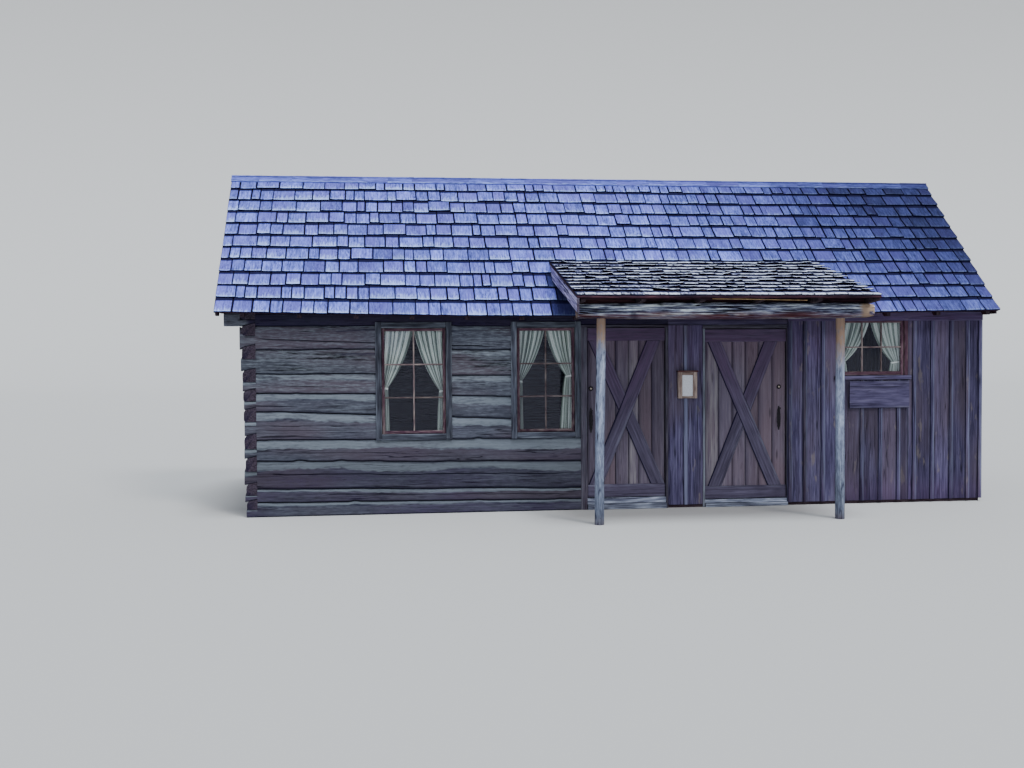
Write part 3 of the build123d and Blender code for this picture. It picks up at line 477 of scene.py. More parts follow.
# Very dark: painted shade for the timbers in the shadow under the roofs
ROOF_TIMBER = wood("roof_timber", (0.012, 0.006, 0.009), (0.036, 0.014, 0.02), (0.08, 0.03, 0.032),
                   pale=(0.42, 0.26, 0.1), bump=0.5)
FRAME_TIMBER = wood("frame_timber", (0.03, 0.018, 0.016), (0.065, 0.042, 0.035), (0.12, 0.085, 0.07),
                    from_mesh=False, coarse=(22, 22, 2), fine=(150, 150, 4), patch=(4, 4, 1),
                    mottle=(30, 30, 8), cracks=0.0)
# Very dark too: painted shade for the plates, beams and porch rafters in shadow
PLATE_TIMBER = wood("plate_timber", (0.014, 0.009, 0.01), (0.03, 0.018, 0.02), (0.06, 0.04, 0.04),
                    from_mesh=False, coarse=(1.5, 22), fine=(4, 150), cracks=0.0)
BEAM = wood("beam_log", (0.016, 0.013, 0.024), (0.18, 0.19, 0.23), (0.86, 0.9, 0.77),
            pale=(0.36, 0.25, 0.15), stain_and_shade=(0.085, 0.022, 0.02), end=(0.2, 0.13, 0.08), coarse=(1.6, 40),
            fine=(6, 150), patch=(1.2, 12), mottle=(5, 55), spread=(0.43, 0.57), bump=1.0, knots=0.6,
            cracks=1.0, crack_scale=(1.2, 34), crack_width=(0.02, 0.06), flecks=0.5, fleck_scale=(5, 55))
POST = wood("post_log", (0.06, 0.06, 0.08), (0.205, 0.228, 0.265), (0.4, 0.43, 0.46),
            pale=(0.3, 0.21, 0.13), stain_and_shade=(0.16, 0.07, 0.035), end=(0.2, 0.16, 0.12), coarse=(3, 34),
            fine=(10, 130), patch=(3, 10), mottle=(14, 50), knots=0.9, tone_range=(0.35, 1.12), cracks=0.5,
            flecks=0.5, fleck_scale=(22, 60), spread=(0.38, 0.62))
CASING = wood("casing_wood", (0.022, 0.022, 0.026), (0.054, 0.057, 0.064), (0.105, 0.112, 0.115),
              pale=(0.17, 0.18, 0.18), stain_and_shade=(0.07, 0.036, 0.05), mottle=(4, 40), knots=0.4, flecks=0.2)
SASH = wood("sash_wood", (0.036, 0.015, 0.022), (0.08, 0.036, 0.046), (0.135, 0.07, 0.08),
            pale=(0.26, 0.21, 0.16), knots=0.0, cracks=0.0)
DOOR = wood("door_planks", (0.052, 0.038, 0.047), (0.104, 0.082, 0.096), (0.172, 0.145, 0.152),
            pale=(0.21, 0.185, 0.16), stain_and_shade=(0.15, 0.078, 0.105), hues=(0.12, 0.08, 0.08),
            coarse=(0.8, 30), mottle=(3, 44), patch=(0.6, 7), spread=(0.34, 0.66), tone_range=(0.7, 1.25),
            knots=0.6, flecks=0.25, cracks=0.3)
BRACE = wood("door_braces", (0.03, 0.024, 0.034), (0.068, 0.056, 0.076), (0.118, 0.1, 0.13),
             pale=(0.15, 0.145, 0.165), stain_and_shade=(0.092, 0.044, 0.082), coarse=(1.1, 30), mottle=(4, 40),
             spread=(0.37, 0.63), knots=0.4, flecks=0.15, cracks=0.3)
SILL = wood("door_sill_wood", (0.045, 0.045, 0.06), (0.15, 0.16, 0.18), (0.34, 0.36, 0.38),
            pale=(0.55, 0.57, 0.58), mottle=(4, 40), knots=0.3, flecks=0.2)
FLOOR = wood("floor_wood", (0.05, 0.03, 0.02), (0.1, 0.065, 0.045), (0.17, 0.12, 0.085))
BOX = wood("box_wood", (0.09, 0.05, 0.04), (0.18, 0.125, 0.09), (0.31, 0.235, 0.17), knots=0.2,
           stain_and_shade=(0.07, 0.018, 0.02), cracks=0.3)
SIGN = wood("sign_wood", (0.026, 0.021, 0.038), (0.064, 0.053, 0.088), (0.115, 0.098, 0.14),
            pale=(0.17, 0.155, 0.18), mottle=(4, 36), spread=(0.39, 0.61), knots=0.4, flecks=0.3)
# Nearly black: painted shade for the chinking deep in the seams
CHINK = wood("chinking", (0.006, 0.004, 0.004), (0.012, 0.009, 0.008), (0.022, 0.016, 0.014),
             from_mesh=False, coarse=(12, 12), fine=(80, 80), patch=(4, 4), knots=0.0, cracks=0.0)
PLANK = wood("porch_side_wood", (0.03, 0.024, 0.05), (0.27, 0.225, 0.34), (0.74, 0.66, 0.77),
             pale=(0.55, 0.6, 0.7), coarse=(1.0, 34), mottle=(4, 50), patch=(1.2, 12), spread=(0.4, 0.6),
             knots=0.3, bump=0.9, cracks=0.9, crack_width=(0.014, 0.045))
IRON = iron("dark_iron")
BRASS = iron("worn_brass", (0.3, 0.26, 0.22), 0.3)
GLASS = glass("window_glass")
CLOTH = cloth("curtain_cloth")


# Hewn logs. A seam between two courses has a height at the corner and one at SEAM_RUN, where the
# doors begin; the side wall's logs lie half a course higher.

SEAMS = np.array([(0, 0), (0.165, 0.13), (0.322, 0.262), (0.644, 0.58), (0.881, 0.858), (1.215, 1.06),
                  (1.423, 1.34), (1.646, 1.595), (1.92, 1.905), (2.19, 2.19), (2.345, 2.345)])
SEAM_RUN = 3.946
COURSES = len(SEAMS) - 1
BEVEL, GAP, SEAT = 0.035, 0.0082, 0.0002
MIDDLES = (SEAMS[:-1, 0] + SEAMS[1:, 0]) / 2
TENON_TOP = (MIDDLES + SEAMS[1:, 0]) / 2
TENON_FOOT = (SEAMS[:-1, 0] + MIDDLES) / 2
LEAN = 0.05
PAST_CORNER = [-0.181, -0.12, -0.06, -0.001]


def seam(i, x):
    return SEAMS[i, 0] + (SEAMS[i, 1] - SEAMS[i, 0]) * np.clip(x / SEAM_RUN, 0, 1)


def back_seam(i, x):
    """The back wall's seams run straight from the corner notch to the far end of the log pen."""
    near = SEAMS[i, 0] + (SEAMS[i, 1] - SEAMS[i, 0]) * LOG / SEAM_RUN
    return near + (SEAMS[i, 1] - near) * np.clip((x - LOG) / (PEN_END - LOG), 0, 1)


def wavy(i, x, seed, near):
    """How far the visible edges at a seam stray from its line; near is the distance to a notch."""
    if i in (0, COURSES):
        return 0 * x
    bumps = ramp(noise(x / 0.16, i + 31.5, seed), 0.35, 0.8) * 0.011
    stray = 0.01 * noise(x / 0.7, i + 0.5, seed) + 0.005 * noise(x / 0.17, i + 9.5, seed) + bumps
    return stray * ramp(near, LOG + 0.01, LOG + 0.25)


def front_edges(i, line, seed):
    """Heights of front or back log i at (u, w), underside and top, and how its visible edges stray."""
    def low(u, w):
        notch = TENON_FOOT[i] - BEVEL * (1 - np.clip(u / LOG, 0, 1)) + 0 * w
        return np.where((u < LOG) & (u >= 0) & (i > 0), notch, line(i, u) + (GAP if i else 0))

    def top(u, w):
        notch = TENON_TOP[i] - BEVEL * (1 - w / LOG) + 0 * u
        return np.where((u < LOG) & (u >= 0), notch, line(i + 1, u) - SEAT)
    return low, top, *(lambda u, j=j: wavy(j, u, seed, u) for j in (i, i + 1))


def side_edges(i):
    """The same for the side log over seam i; u is its distance from the front wall's face."""
    def near(u):
        return np.minimum(u, DEPTH - u)

    def low(u, w):
        notch = TENON_TOP[i - 1] - BEVEL * (1 - np.clip(near(u) / LOG, 0, 1)) if i else 0 * u
        return np.where((near(u) < LOG) & (i > 0), notch, MIDDLES[i - 1] + GAP if i else 0)

    def top(u, w):
        if i == COURSES:
            return np.where(near(u) < LOG, SEAMS[-1, 0], PLATE_TOP)
        return np.where(near(u) < LOG, TENON_FOOT[i] - BEVEL * (1 - w / LOG) + 0 * u, MIDDLES[i] - SEAT)

    def stray(j):
        return lambda u: wavy(int(0 < j <= COURSES), u + 7.3 * j, 77, near(u))
    return low, top, stray(i), stray(i + 1)


def hewn(heap, place, u, edges, seed, cracks, wane, red, tone, bright, skin=0.0):
    """Hewn log at stations u; place gives the point at (u, w, z), w inward from the wall's face.

    Below the wane line the face is flat and axe-marked, above it the log's own round shows; the wane is
    painted paler, partly as greyer weathered wood and partly as painted skylight on its upturned round.
    The face's foot, where it rounds back, and the open cracks get painted shade. A crack is (start, end,
    its height at both, size).
    """
    low, top, stray_low, stray_top = edges
    u = np.asarray(u)[:, None]
    foot, head = low(u, skin) + stray_low(u), top(u, skin) + stray_top(u)
    wander = (0.09 * noise(u / 0.9, seed, 11) + 0.035 * noise(u / 0.19, seed, 12)
              + 0.03 * noise(u / 0.05, seed, 14))
    wane_line = head - (head - foot) * np.clip(wane + wander, 0.05, 0.6)
    lines = [foot]
    for start, end, z_start, z_end, size in cracks:
        path = z_start + (z_end - z_start) * np.clip((u - start) / (end - start), 0, 1)
        path = path + 0.006 * noise(u / 0.18, seed + size * 99, 13)
        lines.append(np.clip(path, lines[-1] + 0.02, wane_line - 0.012))
    lines += [wane_line, head]
    rows = []
    for k, (a, b) in enumerate(pairs(lines)):
        in_wane = k == len(lines) - 2
        for share in (0, 0.25, 0.55, 0.85) if in_wane else (0, 0.14, 0.5, 0.82):
            here = a + (b - a) * share
            axe = 0.004 * (1 + noise(u / 0.09 + here * 3, here / 0.11, seed + 20))
            axe = axe + 0.003 * (1 + noise(u / 0.4, here / 0.2, seed + 21))
            depth, is_pale, is_dark = axe, 0.0, 0.0
            # Painted shade where the face rounds back at the log's foot
            if k == 0:
                edge = np.clip(1 - (here - foot) / 0.016, 0, 1)
                depth, is_dark = depth + 0.02 * edge ** 2, 0.7 * edge
            # The wane is painted paler: greyer weathered wood, and painted skylight on its upturned round
            if in_wane:
                depth = 0.004 + 0.022 * share ** 3 + 0.6 * axe
                if share == 0:
                    is_dark = is_dark + 0.6 * ramp(noise(u / 0.45, seed + 0.5, 16), -0.05, 0.35)
                is_pale = (bright * (1.0 if share > 0 else 0.65) + 0.2 * noise(u / 0.7, seed + 0.5, 15)
                           + 0.25 * noise(u / 0.16, seed + 3 * share, 17))
            # A crack's open middle is painted dark: painted shade inside it
            if share == 0 and 0 < k <= len(cracks):
                start, end, _, _, size = cracks[k - 1]
                gape = ramp(u, start, start + 0.1) * (1 - ramp(u, end - 0.25, end)) * size
                for side, sink in ((-1, 0), (0, 1), (1, 0)):
                    lip = here + side * (0.0006 + 0.006 * gape)
                    rows.append((lip, axe + sink * 0.02 * gape, 0.0, sink * gape))
                continue
            rows.append((here, depth, is_pale, is_dark))
    rows.append((head, 0.026, 0.6, 0.5))
    rows = [(z, skin + w, pale, dark) for z, w, pale, dark in rows]
    rows += [(edge(u, LOG * share), LOG * share, 0.0, 0.0)
             for edge, share in ((top, 0.4), (top, 1.0), (low, 1.0), (low, 0.4))]
    z, w, pale, dark = (np.concatenate([a + 0 * u for a in column], 1) for column in zip(*rows))
    along = np.broadcast_to(u, z.shape)
    pick = np.random.default_rng(seed)
    mark = blank_mark(z.shape, tone + pick.uniform(-0.2, 0.2))
    mark[..., PALE], mark[..., DARK] = np.maximum(pale, 0.2 * ramp(z, 1.0, 1.6)), dark
    mark[..., RED] = red * (0.6 + 0.4 * noise(along / 0.6, z / 0.2, seed)) * (1 - 0.8 * np.clip(pale, 0, 1))
    # Painted shade: the top log lies in the eave's shadow and gets a dark mark
    if red == 1.0:
        mark[:, :-4, DARK] = np.maximum(mark[:, :-4, DARK], 0.5)
    # Past the corner the top log's end stands out of the eave's shadow, so it is left out of the painted
    # shade and painted pale as lit; elsewhere its top and underside get painted shade
    if u.min() < -0.1:
        bare = (along < 0.09)[..., None]
        mark = np.where(bare, np.array([0.5, 0.0, 0.25, 0.45]), mark)
        mark[:, -4:, DARK] = 0.6 * (1 - bare[:, -4:, 0])
    grain = np.stack([along, z, w], -1) + pick.uniform(0, 40, 3)
    heap.sweep(place(along, w, z), grain, mark)


def tenon_stations(end, step, both_ends=False):
    """Stations along a log, close together at its corner notches."""
    notch = [0.0, 0.06, 0.12, LOG - 0.001, LOG + 0.001]
    run = [*np.arange(notch[-1] + step / 2, end - 0.02, step), end]
    if not both_ends:
        return np.array(notch + run)
    tail = [end - LOG - 0.001, end - LOG + 0.001, end - 0.12, end - 0.06, end]
    return np.array(notch + [a for a in run if a < tail[0] - 0.02] + tail)


FRONT_CRACKS = {
    1: [(0.9, 3.8, 0.245, 0.2, 0.7)],
    2: [(0.3, 3.9, 0.49, 0.44, 1.0)],
    3: [(0.5, 1.9, 0.74, 0.72, 0.35)],
    4: [(0.2, 1.3, 1.0, 0.99, 0.4)],
    5: [(0.0, 0.68, 1.29, 1.268, 1.0)],
    6: [(0.5, 1.4, 1.5, 1.48, 0.4)],
    7: [(0.4, 1.3, 1.74, 1.72, 0.3)],
    8: [(0.17, 3.0, 2.05, 1.945, 1.0)],
}
# For each front log from the ground up: its wane's share, redness, tone and how pale its wane is;
# the top log's full redness and zero tone are painted shade under the eave
FRONT_LOOKS = [(0.2, 0.6, 0.06, 0.9), (0.24, 0.5, 0.05, 0.9), (0.3, 0.5, 0.1, 0.95), (0.4, 0.35, 0.5, 0.95),
               (0.34, 0.25, 0.62, 0.85), (0.36, 0.12, 0.66, 0.85), (0.3, 0.06, 0.7, 0.7),
               (0.22, 0.0, 0.7, 0.25), (0.2, 0.12, 0.6, 0.2), (0.2, 1.0, 0.0, 0.0)]
WINDOW_1 = (1.532, 2.418)
WINDOW_2_LEFT = 3.114
WINDOW_COURSES = range(4, 9)


def build_front_logs():
    heap = Heap()
    for i in range(COURSES):
        top_log = i == COURSES - 1
        stations = tenon_stations(PEN_END if top_log else SEAM_RUN, 0.035)
        if top_log:
            stations = np.concatenate([PAST_CORNER, stations])
        else:
            stations[0] += LEAN * (1 - MIDDLES[i] / 2.3) + 0.012 * math.sin(5.3 * i)
        runs = [stations]
        if i in WINDOW_COURSES:
            runs = [np.append(stations[stations < WINDOW_1[0]], WINDOW_1[0] + 0.01),
                    np.linspace(WINDOW_1[1] - 0.01, WINDOW_2_LEFT + 0.01, 22)]
        for run in runs:
            hewn(heap, stack, run, front_edges(i, seam, 41), 100 + i, FRONT_CRACKS.get(i, ()),
                 *FRONT_LOOKS[i])
    heap.build("front_log_wall", "house", "hewn_logs", HEWN, "front_logs")


def build_back_logs():
    heap = Heap()
    for i in range(COURSES):
        stations = tenon_stations(PEN_END, 0.05)
        if i == COURSES - 1:
            stations = np.concatenate([PAST_CORNER, stations])
        pick = np.random.default_rng(900 + i)
        start = pick.uniform(0.3, 2.5)
        height = (back_seam(i, start) + back_seam(i + 1, start)) / 2
        crack = [(start, start + pick.uniform(0.8, 2.2), height, height - 0.03, 0.8)]
        hewn(heap, lambda u, w, z: stack(u, DEPTH - w, z), stations, front_edges(i, back_seam, 57), 300 + i,
             crack, pick.uniform(0.2, 0.36), pick.uniform(0, 0.3), pick.uniform(0.3, 0.6),
             pick.uniform(0.3, 0.75))
    heap.build("back_log_wall", "house", "hewn_logs", HEWN, "back_logs")


def build_left_logs():
    heap = Heap()
    for i in range(COURSES + 1):
        skin = max(LEAN * (1 - (MIDDLES[min(i, COURSES - 1)] - 0.1) / 2.3), 0.0)
        if i:
            stations = tenon_stations(DEPTH, 0.05, both_ends=True)
            stations[[0, -1]] += (0.006 + 0.01 * (i % 3) / 2) * np.array([1, -1])
        else:
            stations = np.linspace(LOG, DEPTH - LOG, 60)
        edges = side_edges(i)
        pick = np.random.default_rng(950 + i)
        start = pick.uniform(0.4, 1.6)
        foot, head = (float(edge(np.array(start), 0.0)) for edge in edges[:2])
        height = foot + (head - foot) * 0.4
        crack = []
        if head - foot > 0.12:
            crack = [(start, start + pick.uniform(0.6, 1.3), height, height + 0.02, 0.8)]
        hewn(heap, lambda u, w, z: stack(w, u, z), stations, edges, 500 + i, crack, pick.uniform(0.2, 0.36),
             pick.uniform(0, 0.25), pick.uniform(0.3, 0.55), pick.uniform(0.4, 0.8), skin)
    heap.build("left_log_wall", "house", "hewn_logs", HEWN, "left_logs")


# Roof: its slopes droop a little over the middle of the eaves

DECK, RAFTER_DEEP, RAFTER_WIDE = 0.02, 0.09, 0.05
# The space left between two pieces that lie on each other, and the step from one timber's tone to the next
CLEAR, TONE_STEP = 0.0005, 0.37
DECK_TOP_0 = PLATE_TOP - 0.06 * math.tan(PITCH) + 0.11 / math.cos(PITCH)
SHAKE_BUTT, SHAKE_LOW, EXPOSURE = 0.036, 0.014, 0.235
EAVE_Y = -0.29 + SHAKE_BUTT * math.sin(PITCH)
RIDGE_Y = DEPTH / 2
SLOPE_LENGTH = (RIDGE_Y - EAVE_Y) / math.cos(PITCH)
ROOF_COURSES = 11
PORCH_BUTT, PORCH_LOW, PORCH_EXPOSURE = 0.03, 0.012, 0.178
PORCH_EAVE_Y = -1.51 + PORCH_BUTT * math.sin(PORCH_PITCH)
PORCH_EAVE_Z = 2.466
PORCH_X = (3.632, 6.987)


def roof_under(y):
    """Height of the rafters' upper face at a distance from the front wall."""
    return DECK_TOP_0 + min(y, DEPTH - y) * math.tan(PITCH) - DECK / math.cos(PITCH)


def droop(points):
    """Lowers points near the eaves, most over the middle of the house."""
    x, y = points[..., 0], points[..., 1]
    up_slope = (np.minimum(y, DEPTH - y) - EAVE_Y) / math.cos(PITCH)
    along = np.clip((x - ROOF_LEFT) / (ROOF_RIGHT - ROOF_LEFT), 0, 1)
    sag = np.sin(math.pi * along ** 0.9) ** 1.2 * 0.058
    moved = points.copy()
    moved[..., 2] -= sag * np.exp(-np.clip(up_slope, 0, 9) / 0.62) * (1 - ramp(up_slope, 1.2, 2.0))
    return moved


def slope_point(x, v, t, back=False):
    """Point on a drooping slope: x along the house, v up the slope from the eave, t out of the deck."""
    y = EAVE_Y + v * math.cos(PITCH) - t * math.sin(PITCH)
    z = DECK_TOP_0 + EAVE_Y * math.tan(PITCH) + v * math.sin(PITCH) + t * math.cos(PITCH)
    return droop(stack(x, DEPTH - y if back else y, z))


def porch_point(x, v, t):
    """The same over the porch, which is straight."""
    return stack(x, PORCH_EAVE_Y + v * math.cos(PORCH_PITCH) - t * math.sin(PORCH_PITCH),
                 PORCH_EAVE_Z + v * math.sin(PORCH_PITCH) + t * math.cos(PORCH_PITCH))


def porch_limit(t):
    """How far up the porch's slope a point t over its deck meets the house's roof."""
    face = DECK_TOP_0 + EAVE_Y * math.tan(PITCH) + 0.012 / math.cos(PITCH)
    z0 = PORCH_EAVE_Z + t * math.cos(PORCH_PITCH)
    y0 = PORCH_EAVE_Y - t * math.sin(PORCH_PITCH)
    rise = z0 - face - (y0 - EAVE_Y) * math.tan(PITCH)
    return rise / (math.cos(PORCH_PITCH) * math.tan(PITCH) - math.sin(PORCH_PITCH))


def lay(heap, point, x, v, x_row, v_row, v_here, top, bottom, seed, pick, marks):
    """Sweeps a shake at (x, v) through its upper face and then its underside.

    marks are (rows, columns, which mark, its share).
    """
    x_here = x_row + 0.002 * noise(v_row / 0.1, seed * 0.31, 32)
    x_all, v_all, t_all = (np.concatenate([a, b[:, ::-1]], 1)
                           for a, b in ((x_here, x_here), (v_here, v_here), (top, bottom)))
    x_all, v_all = x_all + x, v_all + v
    grain = np.stack([v_all, x_all, t_all], -1) + pick.uniform(0, 40, 3)
    mark = blank_mark(x_all.shape)
    for rows, columns, kind, share in marks:
        mark[rows, columns, kind] = share
    heap.sweep(point(x_all, v_all, t_all), grain, mark)


def shake(heap, back, x, width, v, butt, length, seed, curl, tone, sunlit, shade):
    """Split shake: thick at its butt, thin at its head, laid over the course below.

    Its edges, its underside and the strip under the next course are painted dark: painted shade, with
    some dirt. Its butt rows are painted pale as sunlit, a painted highlight, and shade paints shade over
    the whole shake.
    """
    lap = min(EXPOSURE, length - 0.01)
    v_row = np.array([0, 0.01, 0.1 * lap, 0.6 * lap, lap - 0.045, lap - 0.028, length])[:, None]
    v_row = np.maximum.accumulate(v_row)
    side = min(0.007, width / 5)
    x_row = np.array([0, side, width * 0.36, width * 0.66, width - side, width])[None]
    ragged = 0.008 * (0.5 + 0.5 * noise(x_row / 0.03, seed * 0.7, 31))
    cup = curl * ((x_row - width / 2) / (width / 2)) ** 2 * np.sign(0.5 + noise(seed * 1.7, 0.5, 37))
    lift = np.maximum(cup + curl * 0.5, 0) * np.clip(1 - v_row / 0.13, 0, 1)
    face = 0.002 * noise(v_row / 0.1, x_row / 0.03 + seed, 33)
    top = butt + (SHAKE_LOW - butt) * v_row / EXPOSURE + face + lift
    bottom = np.clip(SHAKE_LOW * (1 - v_row / length), 0.0004, 1) + lift * 0.8
    top = np.maximum(top, bottom + 0.003)
    top[0] -= 0.004
    m = x_row.shape[1]
    every = slice(None)
    # Painted light and shade: sunlit butt rows, dark edges, underside and strip under the next course
    lay(heap, lambda x, v, t: slope_point(x, v, t, back), x, v, x_row, v_row,
        v_row + ragged * (1 - v_row / length), top, bottom, seed, np.random.default_rng(seed),
        ((every, every, TONE, tone), (slice(2), slice(m), PALE, 0.35 + 0.65 * sunlit),
         (2, slice(m), PALE, 0.1 + 0.4 * sunlit), (every, every, DARK, shade),
         (every, [0, m - 1], DARK, max(0.85, shade)), (every, slice(m, None), DARK, 0.9),
         (slice(5, None), every, DARK, 0.96)))


def widths(pick, start, end, low, high):
    """Shake edges between two ends, each course with its own."""
    edges = [start]
    while edges[-1] < end - high * 1.2:
        edges.append(edges[-1] + pick.uniform(low, high))
    rest = end - edges[-1]
    if rest > high:
        edges.append(edges[-1] + rest * pick.uniform(0.4, 0.6))
    return edges + [end]


def tree_shade_tone(x, course=3):
    """Painted shade: the shakes are painted darker towards the right end of the roof, more so in the upper
    courses.
    """
    return float(np.clip(0.88 - 0.2 * max(x - 4.8, 0) * (0.66 + 0.08 * course), 0.05, 1))


def build_shakes():
    """Both slopes; the shakes under the porch roof are painted dark: painted shade."""
    meet_y = PORCH_EAVE_Y + porch_limit(0.0) * math.cos(PORCH_PITCH)
    porch_shade_v = (meet_y - EAVE_Y) / math.cos(PITCH) - 0.06
    for back, side, seed in ((False, "front", 1000), (True, "back", 3000)):
        heap = Heap()
        for k in range(ROOF_COURSES):
            pick = np.random.default_rng(seed + k)
            edges = widths(pick, ROOF_LEFT, ROOF_RIGHT, 0.1, 0.3)
            for j, (a, b) in enumerate(pairs(edges)):
                foot = k * EXPOSURE + (abs(pick.normal(0, 0.012)) if k else 0)
                length = min(EXPOSURE + 0.03, SLOPE_LENGTH - 0.012 - foot)
                gap = pick.uniform(0.006, 0.02)
                middle = (a + b) / 2
                # The front shakes that the porch roof covers get painted shade
                porch_shaded = not back and PORCH_X[0] < middle < PORCH_X[1] and foot + EXPOSURE < porch_shade_v
                # worn is the share of painted sunlight on the butts, most at the left end of the front slope
                worn = 0.4 if back else np.clip(1 - (middle - 2.5) / 5, 0.1, 1)
                butt, curl = SHAKE_BUTT - pick.uniform(0, 0.007), pick.uniform(0, 0.005)
                tone = tree_shade_tone(a, k) + pick.normal(0, 0.12) * (0.25 + 0.75 * tree_shade_tone(a, k))
                shake(heap, back, a + gap / 2, b - a - gap, foot, butt, length, seed * 7 + k * 97 + j, curl,
                      tone, worn * pick.uniform() ** 2, 0.8 if porch_shaded else 0.0)
        heap.build(f"{side}_roof_shakes", "house", "roof_shakes", SHAKES, f"{side}_shakes")


def build_ridge():
    """Cap of short boards laid along the ridge, each lapped over the next."""
    heap = Heap()
    pick = np.random.default_rng(71)
    cap_z = box_of("ridge_cap")[1][2]
    edges = widths(pick, ROOF_LEFT, ROOF_RIGHT, 0.3, 0.5)
    for side, slide, sink in ((-1, -0.016, 0.012), (1, 0.001, 0.0)):
        down = np.array([0, side * math.cos(PITCH), -math.sin(PITCH)])
        out = np.array([0, side * math.sin(PITCH), math.cos(PITCH)])
        for k, (a, b) in enumerate(pairs(edges)):
            apex = np.array([a, RIDGE_Y, cap_z]) - out * 0.026 + down * slide - UP * sink
            plank(heap, apex, RIGHT, down, out, (min(b + 0.03, ROOF_RIGHT) - a, 0.13, 0.022),
                  700 + k + 50 * (side > 0), step=0.1, edge=0.004, wander=0.003,
                  tone=0.8 * tree_shade_tone(a) + pick.uniform(-0.08, 0.08))
    heap.build("ridge_cap_boards", "house", "roof_shakes", SHAKES, "ridge_cap")


def build_roof_timbers():
    """Deck boards, rafters and rake boards, with the same droop as the shakes."""
    heap = Heap()
    count, rafters = 13, 15
    for back in (False, True):
        for k in range(count):
            v0, v1 = (0.03 + (SLOPE_LENGTH - 0.035) * j / count for j in (k, k + 1))
            x = np.linspace(ROOF_LEFT + 0.002, ROOF_RIGHT - 0.002, 40)[:, None]
            v = np.array([v0, v0, v1 - 0.004, v1 - 0.004])[None]
            t = np.array([-DECK, -CLEAR, -CLEAR, -DECK])[None]
            mark = blank_mark((40, 4), (k * TONE_STEP) % 1)
            # Painted shade on the deck boards' upper faces, under the shakes
            mark[:, 1:3, DARK] = 0.9
            heap.sweep(slope_point(x, v, t, back), stack(x, v, t) + grain_shift(k), mark)
    heap.build("roof_deck_boards", "house", "roof_timber", ROOF_TIMBER, "roof_deck")
    heap = Heap()
    first, last = 0.025, WALL_LENGTH - 0.025 - RAFTER_WIDE
    for back in (False, True):
        for k in range(rafters):
            x = first + (last - first) * k / (rafters - 1)
            rafter(heap, x, RAFTER_WIDE, RAFTER_DEEP, 0.05, RIDGE_Y - 0.015, back, 600 + k)
    heap.build("rafter_pairs", "house", "roof_timber", ROOF_TIMBER, "rafters")
    heap = Heap()
    for back in (False, True):
        for x in (-0.245, 9.02):
            rafter(heap, x, 0.025, 0.135, 0.04, RIDGE_Y - 0.001, back, 660 + back)
    heap.build("rake_board_pairs", "house", "roof_timber", ROOF_TIMBER, "rake_boards")


def rafter(heap, x, width, deep, tail_deep, end_y, back, seed):
    """Timber under the deck that runs up a slope; its tail is cut level, tail_deep under its top."""
    slope = math.tan(PITCH)
    start_y = EAVE_Y + 0.045
    drop = deep / math.cos(PITCH)
    top_y = np.linspace(start_y, end_y, 24)
    low_y = np.concatenate([[start_y], np.linspace(start_y + (drop - tail_deep) / slope, end_y, 23)])
    top_z = roof_under(0.0) + top_y * slope - CLEAR
    low_z = roof_under(0.0) + low_y * slope - drop
    low_z[0] = top_z[0] - tail_deep
    y, z = np.stack([top_y, top_y, low_y, low_y], 1), np.stack([top_z, top_z, low_z, low_z], 1)
    across = np.array([0, width, width, 0])[None]
    grain = stack(y / math.cos(PITCH), across, z - y * slope)
    ring = droop(stack(x + across, DEPTH - y if back else y, z))
    heap.sweep(ring, grain + grain_shift(seed), blank_mark(ring.shape[:2], (seed * TONE_STEP) % 1))


# Board-and-batten walls

BATTENS = [6.515, 6.703, 6.93, 7.13, 7.425, 7.66, 7.893, 8.098, 8.33, 8.575, 8.79]
BATTEN_HALF, BATTEN_THICK = 0.026, 0.02
BOARD_FOOT, BOARD_HEAD, BOARD_THICK, JOINT = 0.038, 2.34, 0.025, 0.001
# The boards under the porch's shelter end at UNDER_PORCH, and the battens between UNDER_WINDOW stop at the
# low window's sill. The wall between the doors has boards at DOOR_WALL and one batten.
BOARDS_LEFT, UNDER_PORCH, UNDER_WINDOW, BATTEN_HEAD = 6.486, 7.0, (7.08, 8.05), 2.232
DOOR_WALL, DOOR_WALL_TALL = (PEN_END, 5.215, 5.434), 2.15
DOOR_BATTEN_X, DOOR_BATTEN_WIDE, DOOR_BATTEN_TALL = 5.19, 0.05, 2.148
# Left end, foot, length and height of the board over the right door
OVER_DOOR, OVER_WINDOW_TALL = (5.007, 2.192, 1.5, 0.152), 0.047


def damp_and_eave_shade(mark, u, z):
    """Darker, redder wood near the ground, and painted reddish shade under the eave."""
    for kind, share in ((RED, 0.5 * (1 - ramp(z, 0.05, 0.45))), (DARK, 0.25 * (1 - ramp(z, 0.03, 0.2))),
                        (RED, 0.3 * ramp(z, 1.9, 2.3))):
        mark[..., kind] = np.maximum(mark[..., kind], share)


def batten_paint(mark, u, z):
    """Battens are paler than the boards, with a painted highlight on worn wood along their right edge and
    painted shade along their left edge.
    """
    mark[..., PALE] = 0.2
    mark[:, [-3, -2], PALE] = 0.85
    mark[:, :2, DARK] = 0.85
    damp_and_eave_shade(mark, u, z)


def pale_batten(mark, u, z):
    mark[..., PALE] = 0.95 - 0.5 * ramp(z, 1.3, 1.9)
    # Painted shade along the batten's left edge
    mark[:, :2, DARK] = 0.85


def sheltered_paint(mark, u, z):
    """Boards under the porch: paler, and redder towards their heads."""
    mark[..., PALE] = 0.15
    mark[..., RED] = 0.4 * ramp(z, 1.4, 2.0)


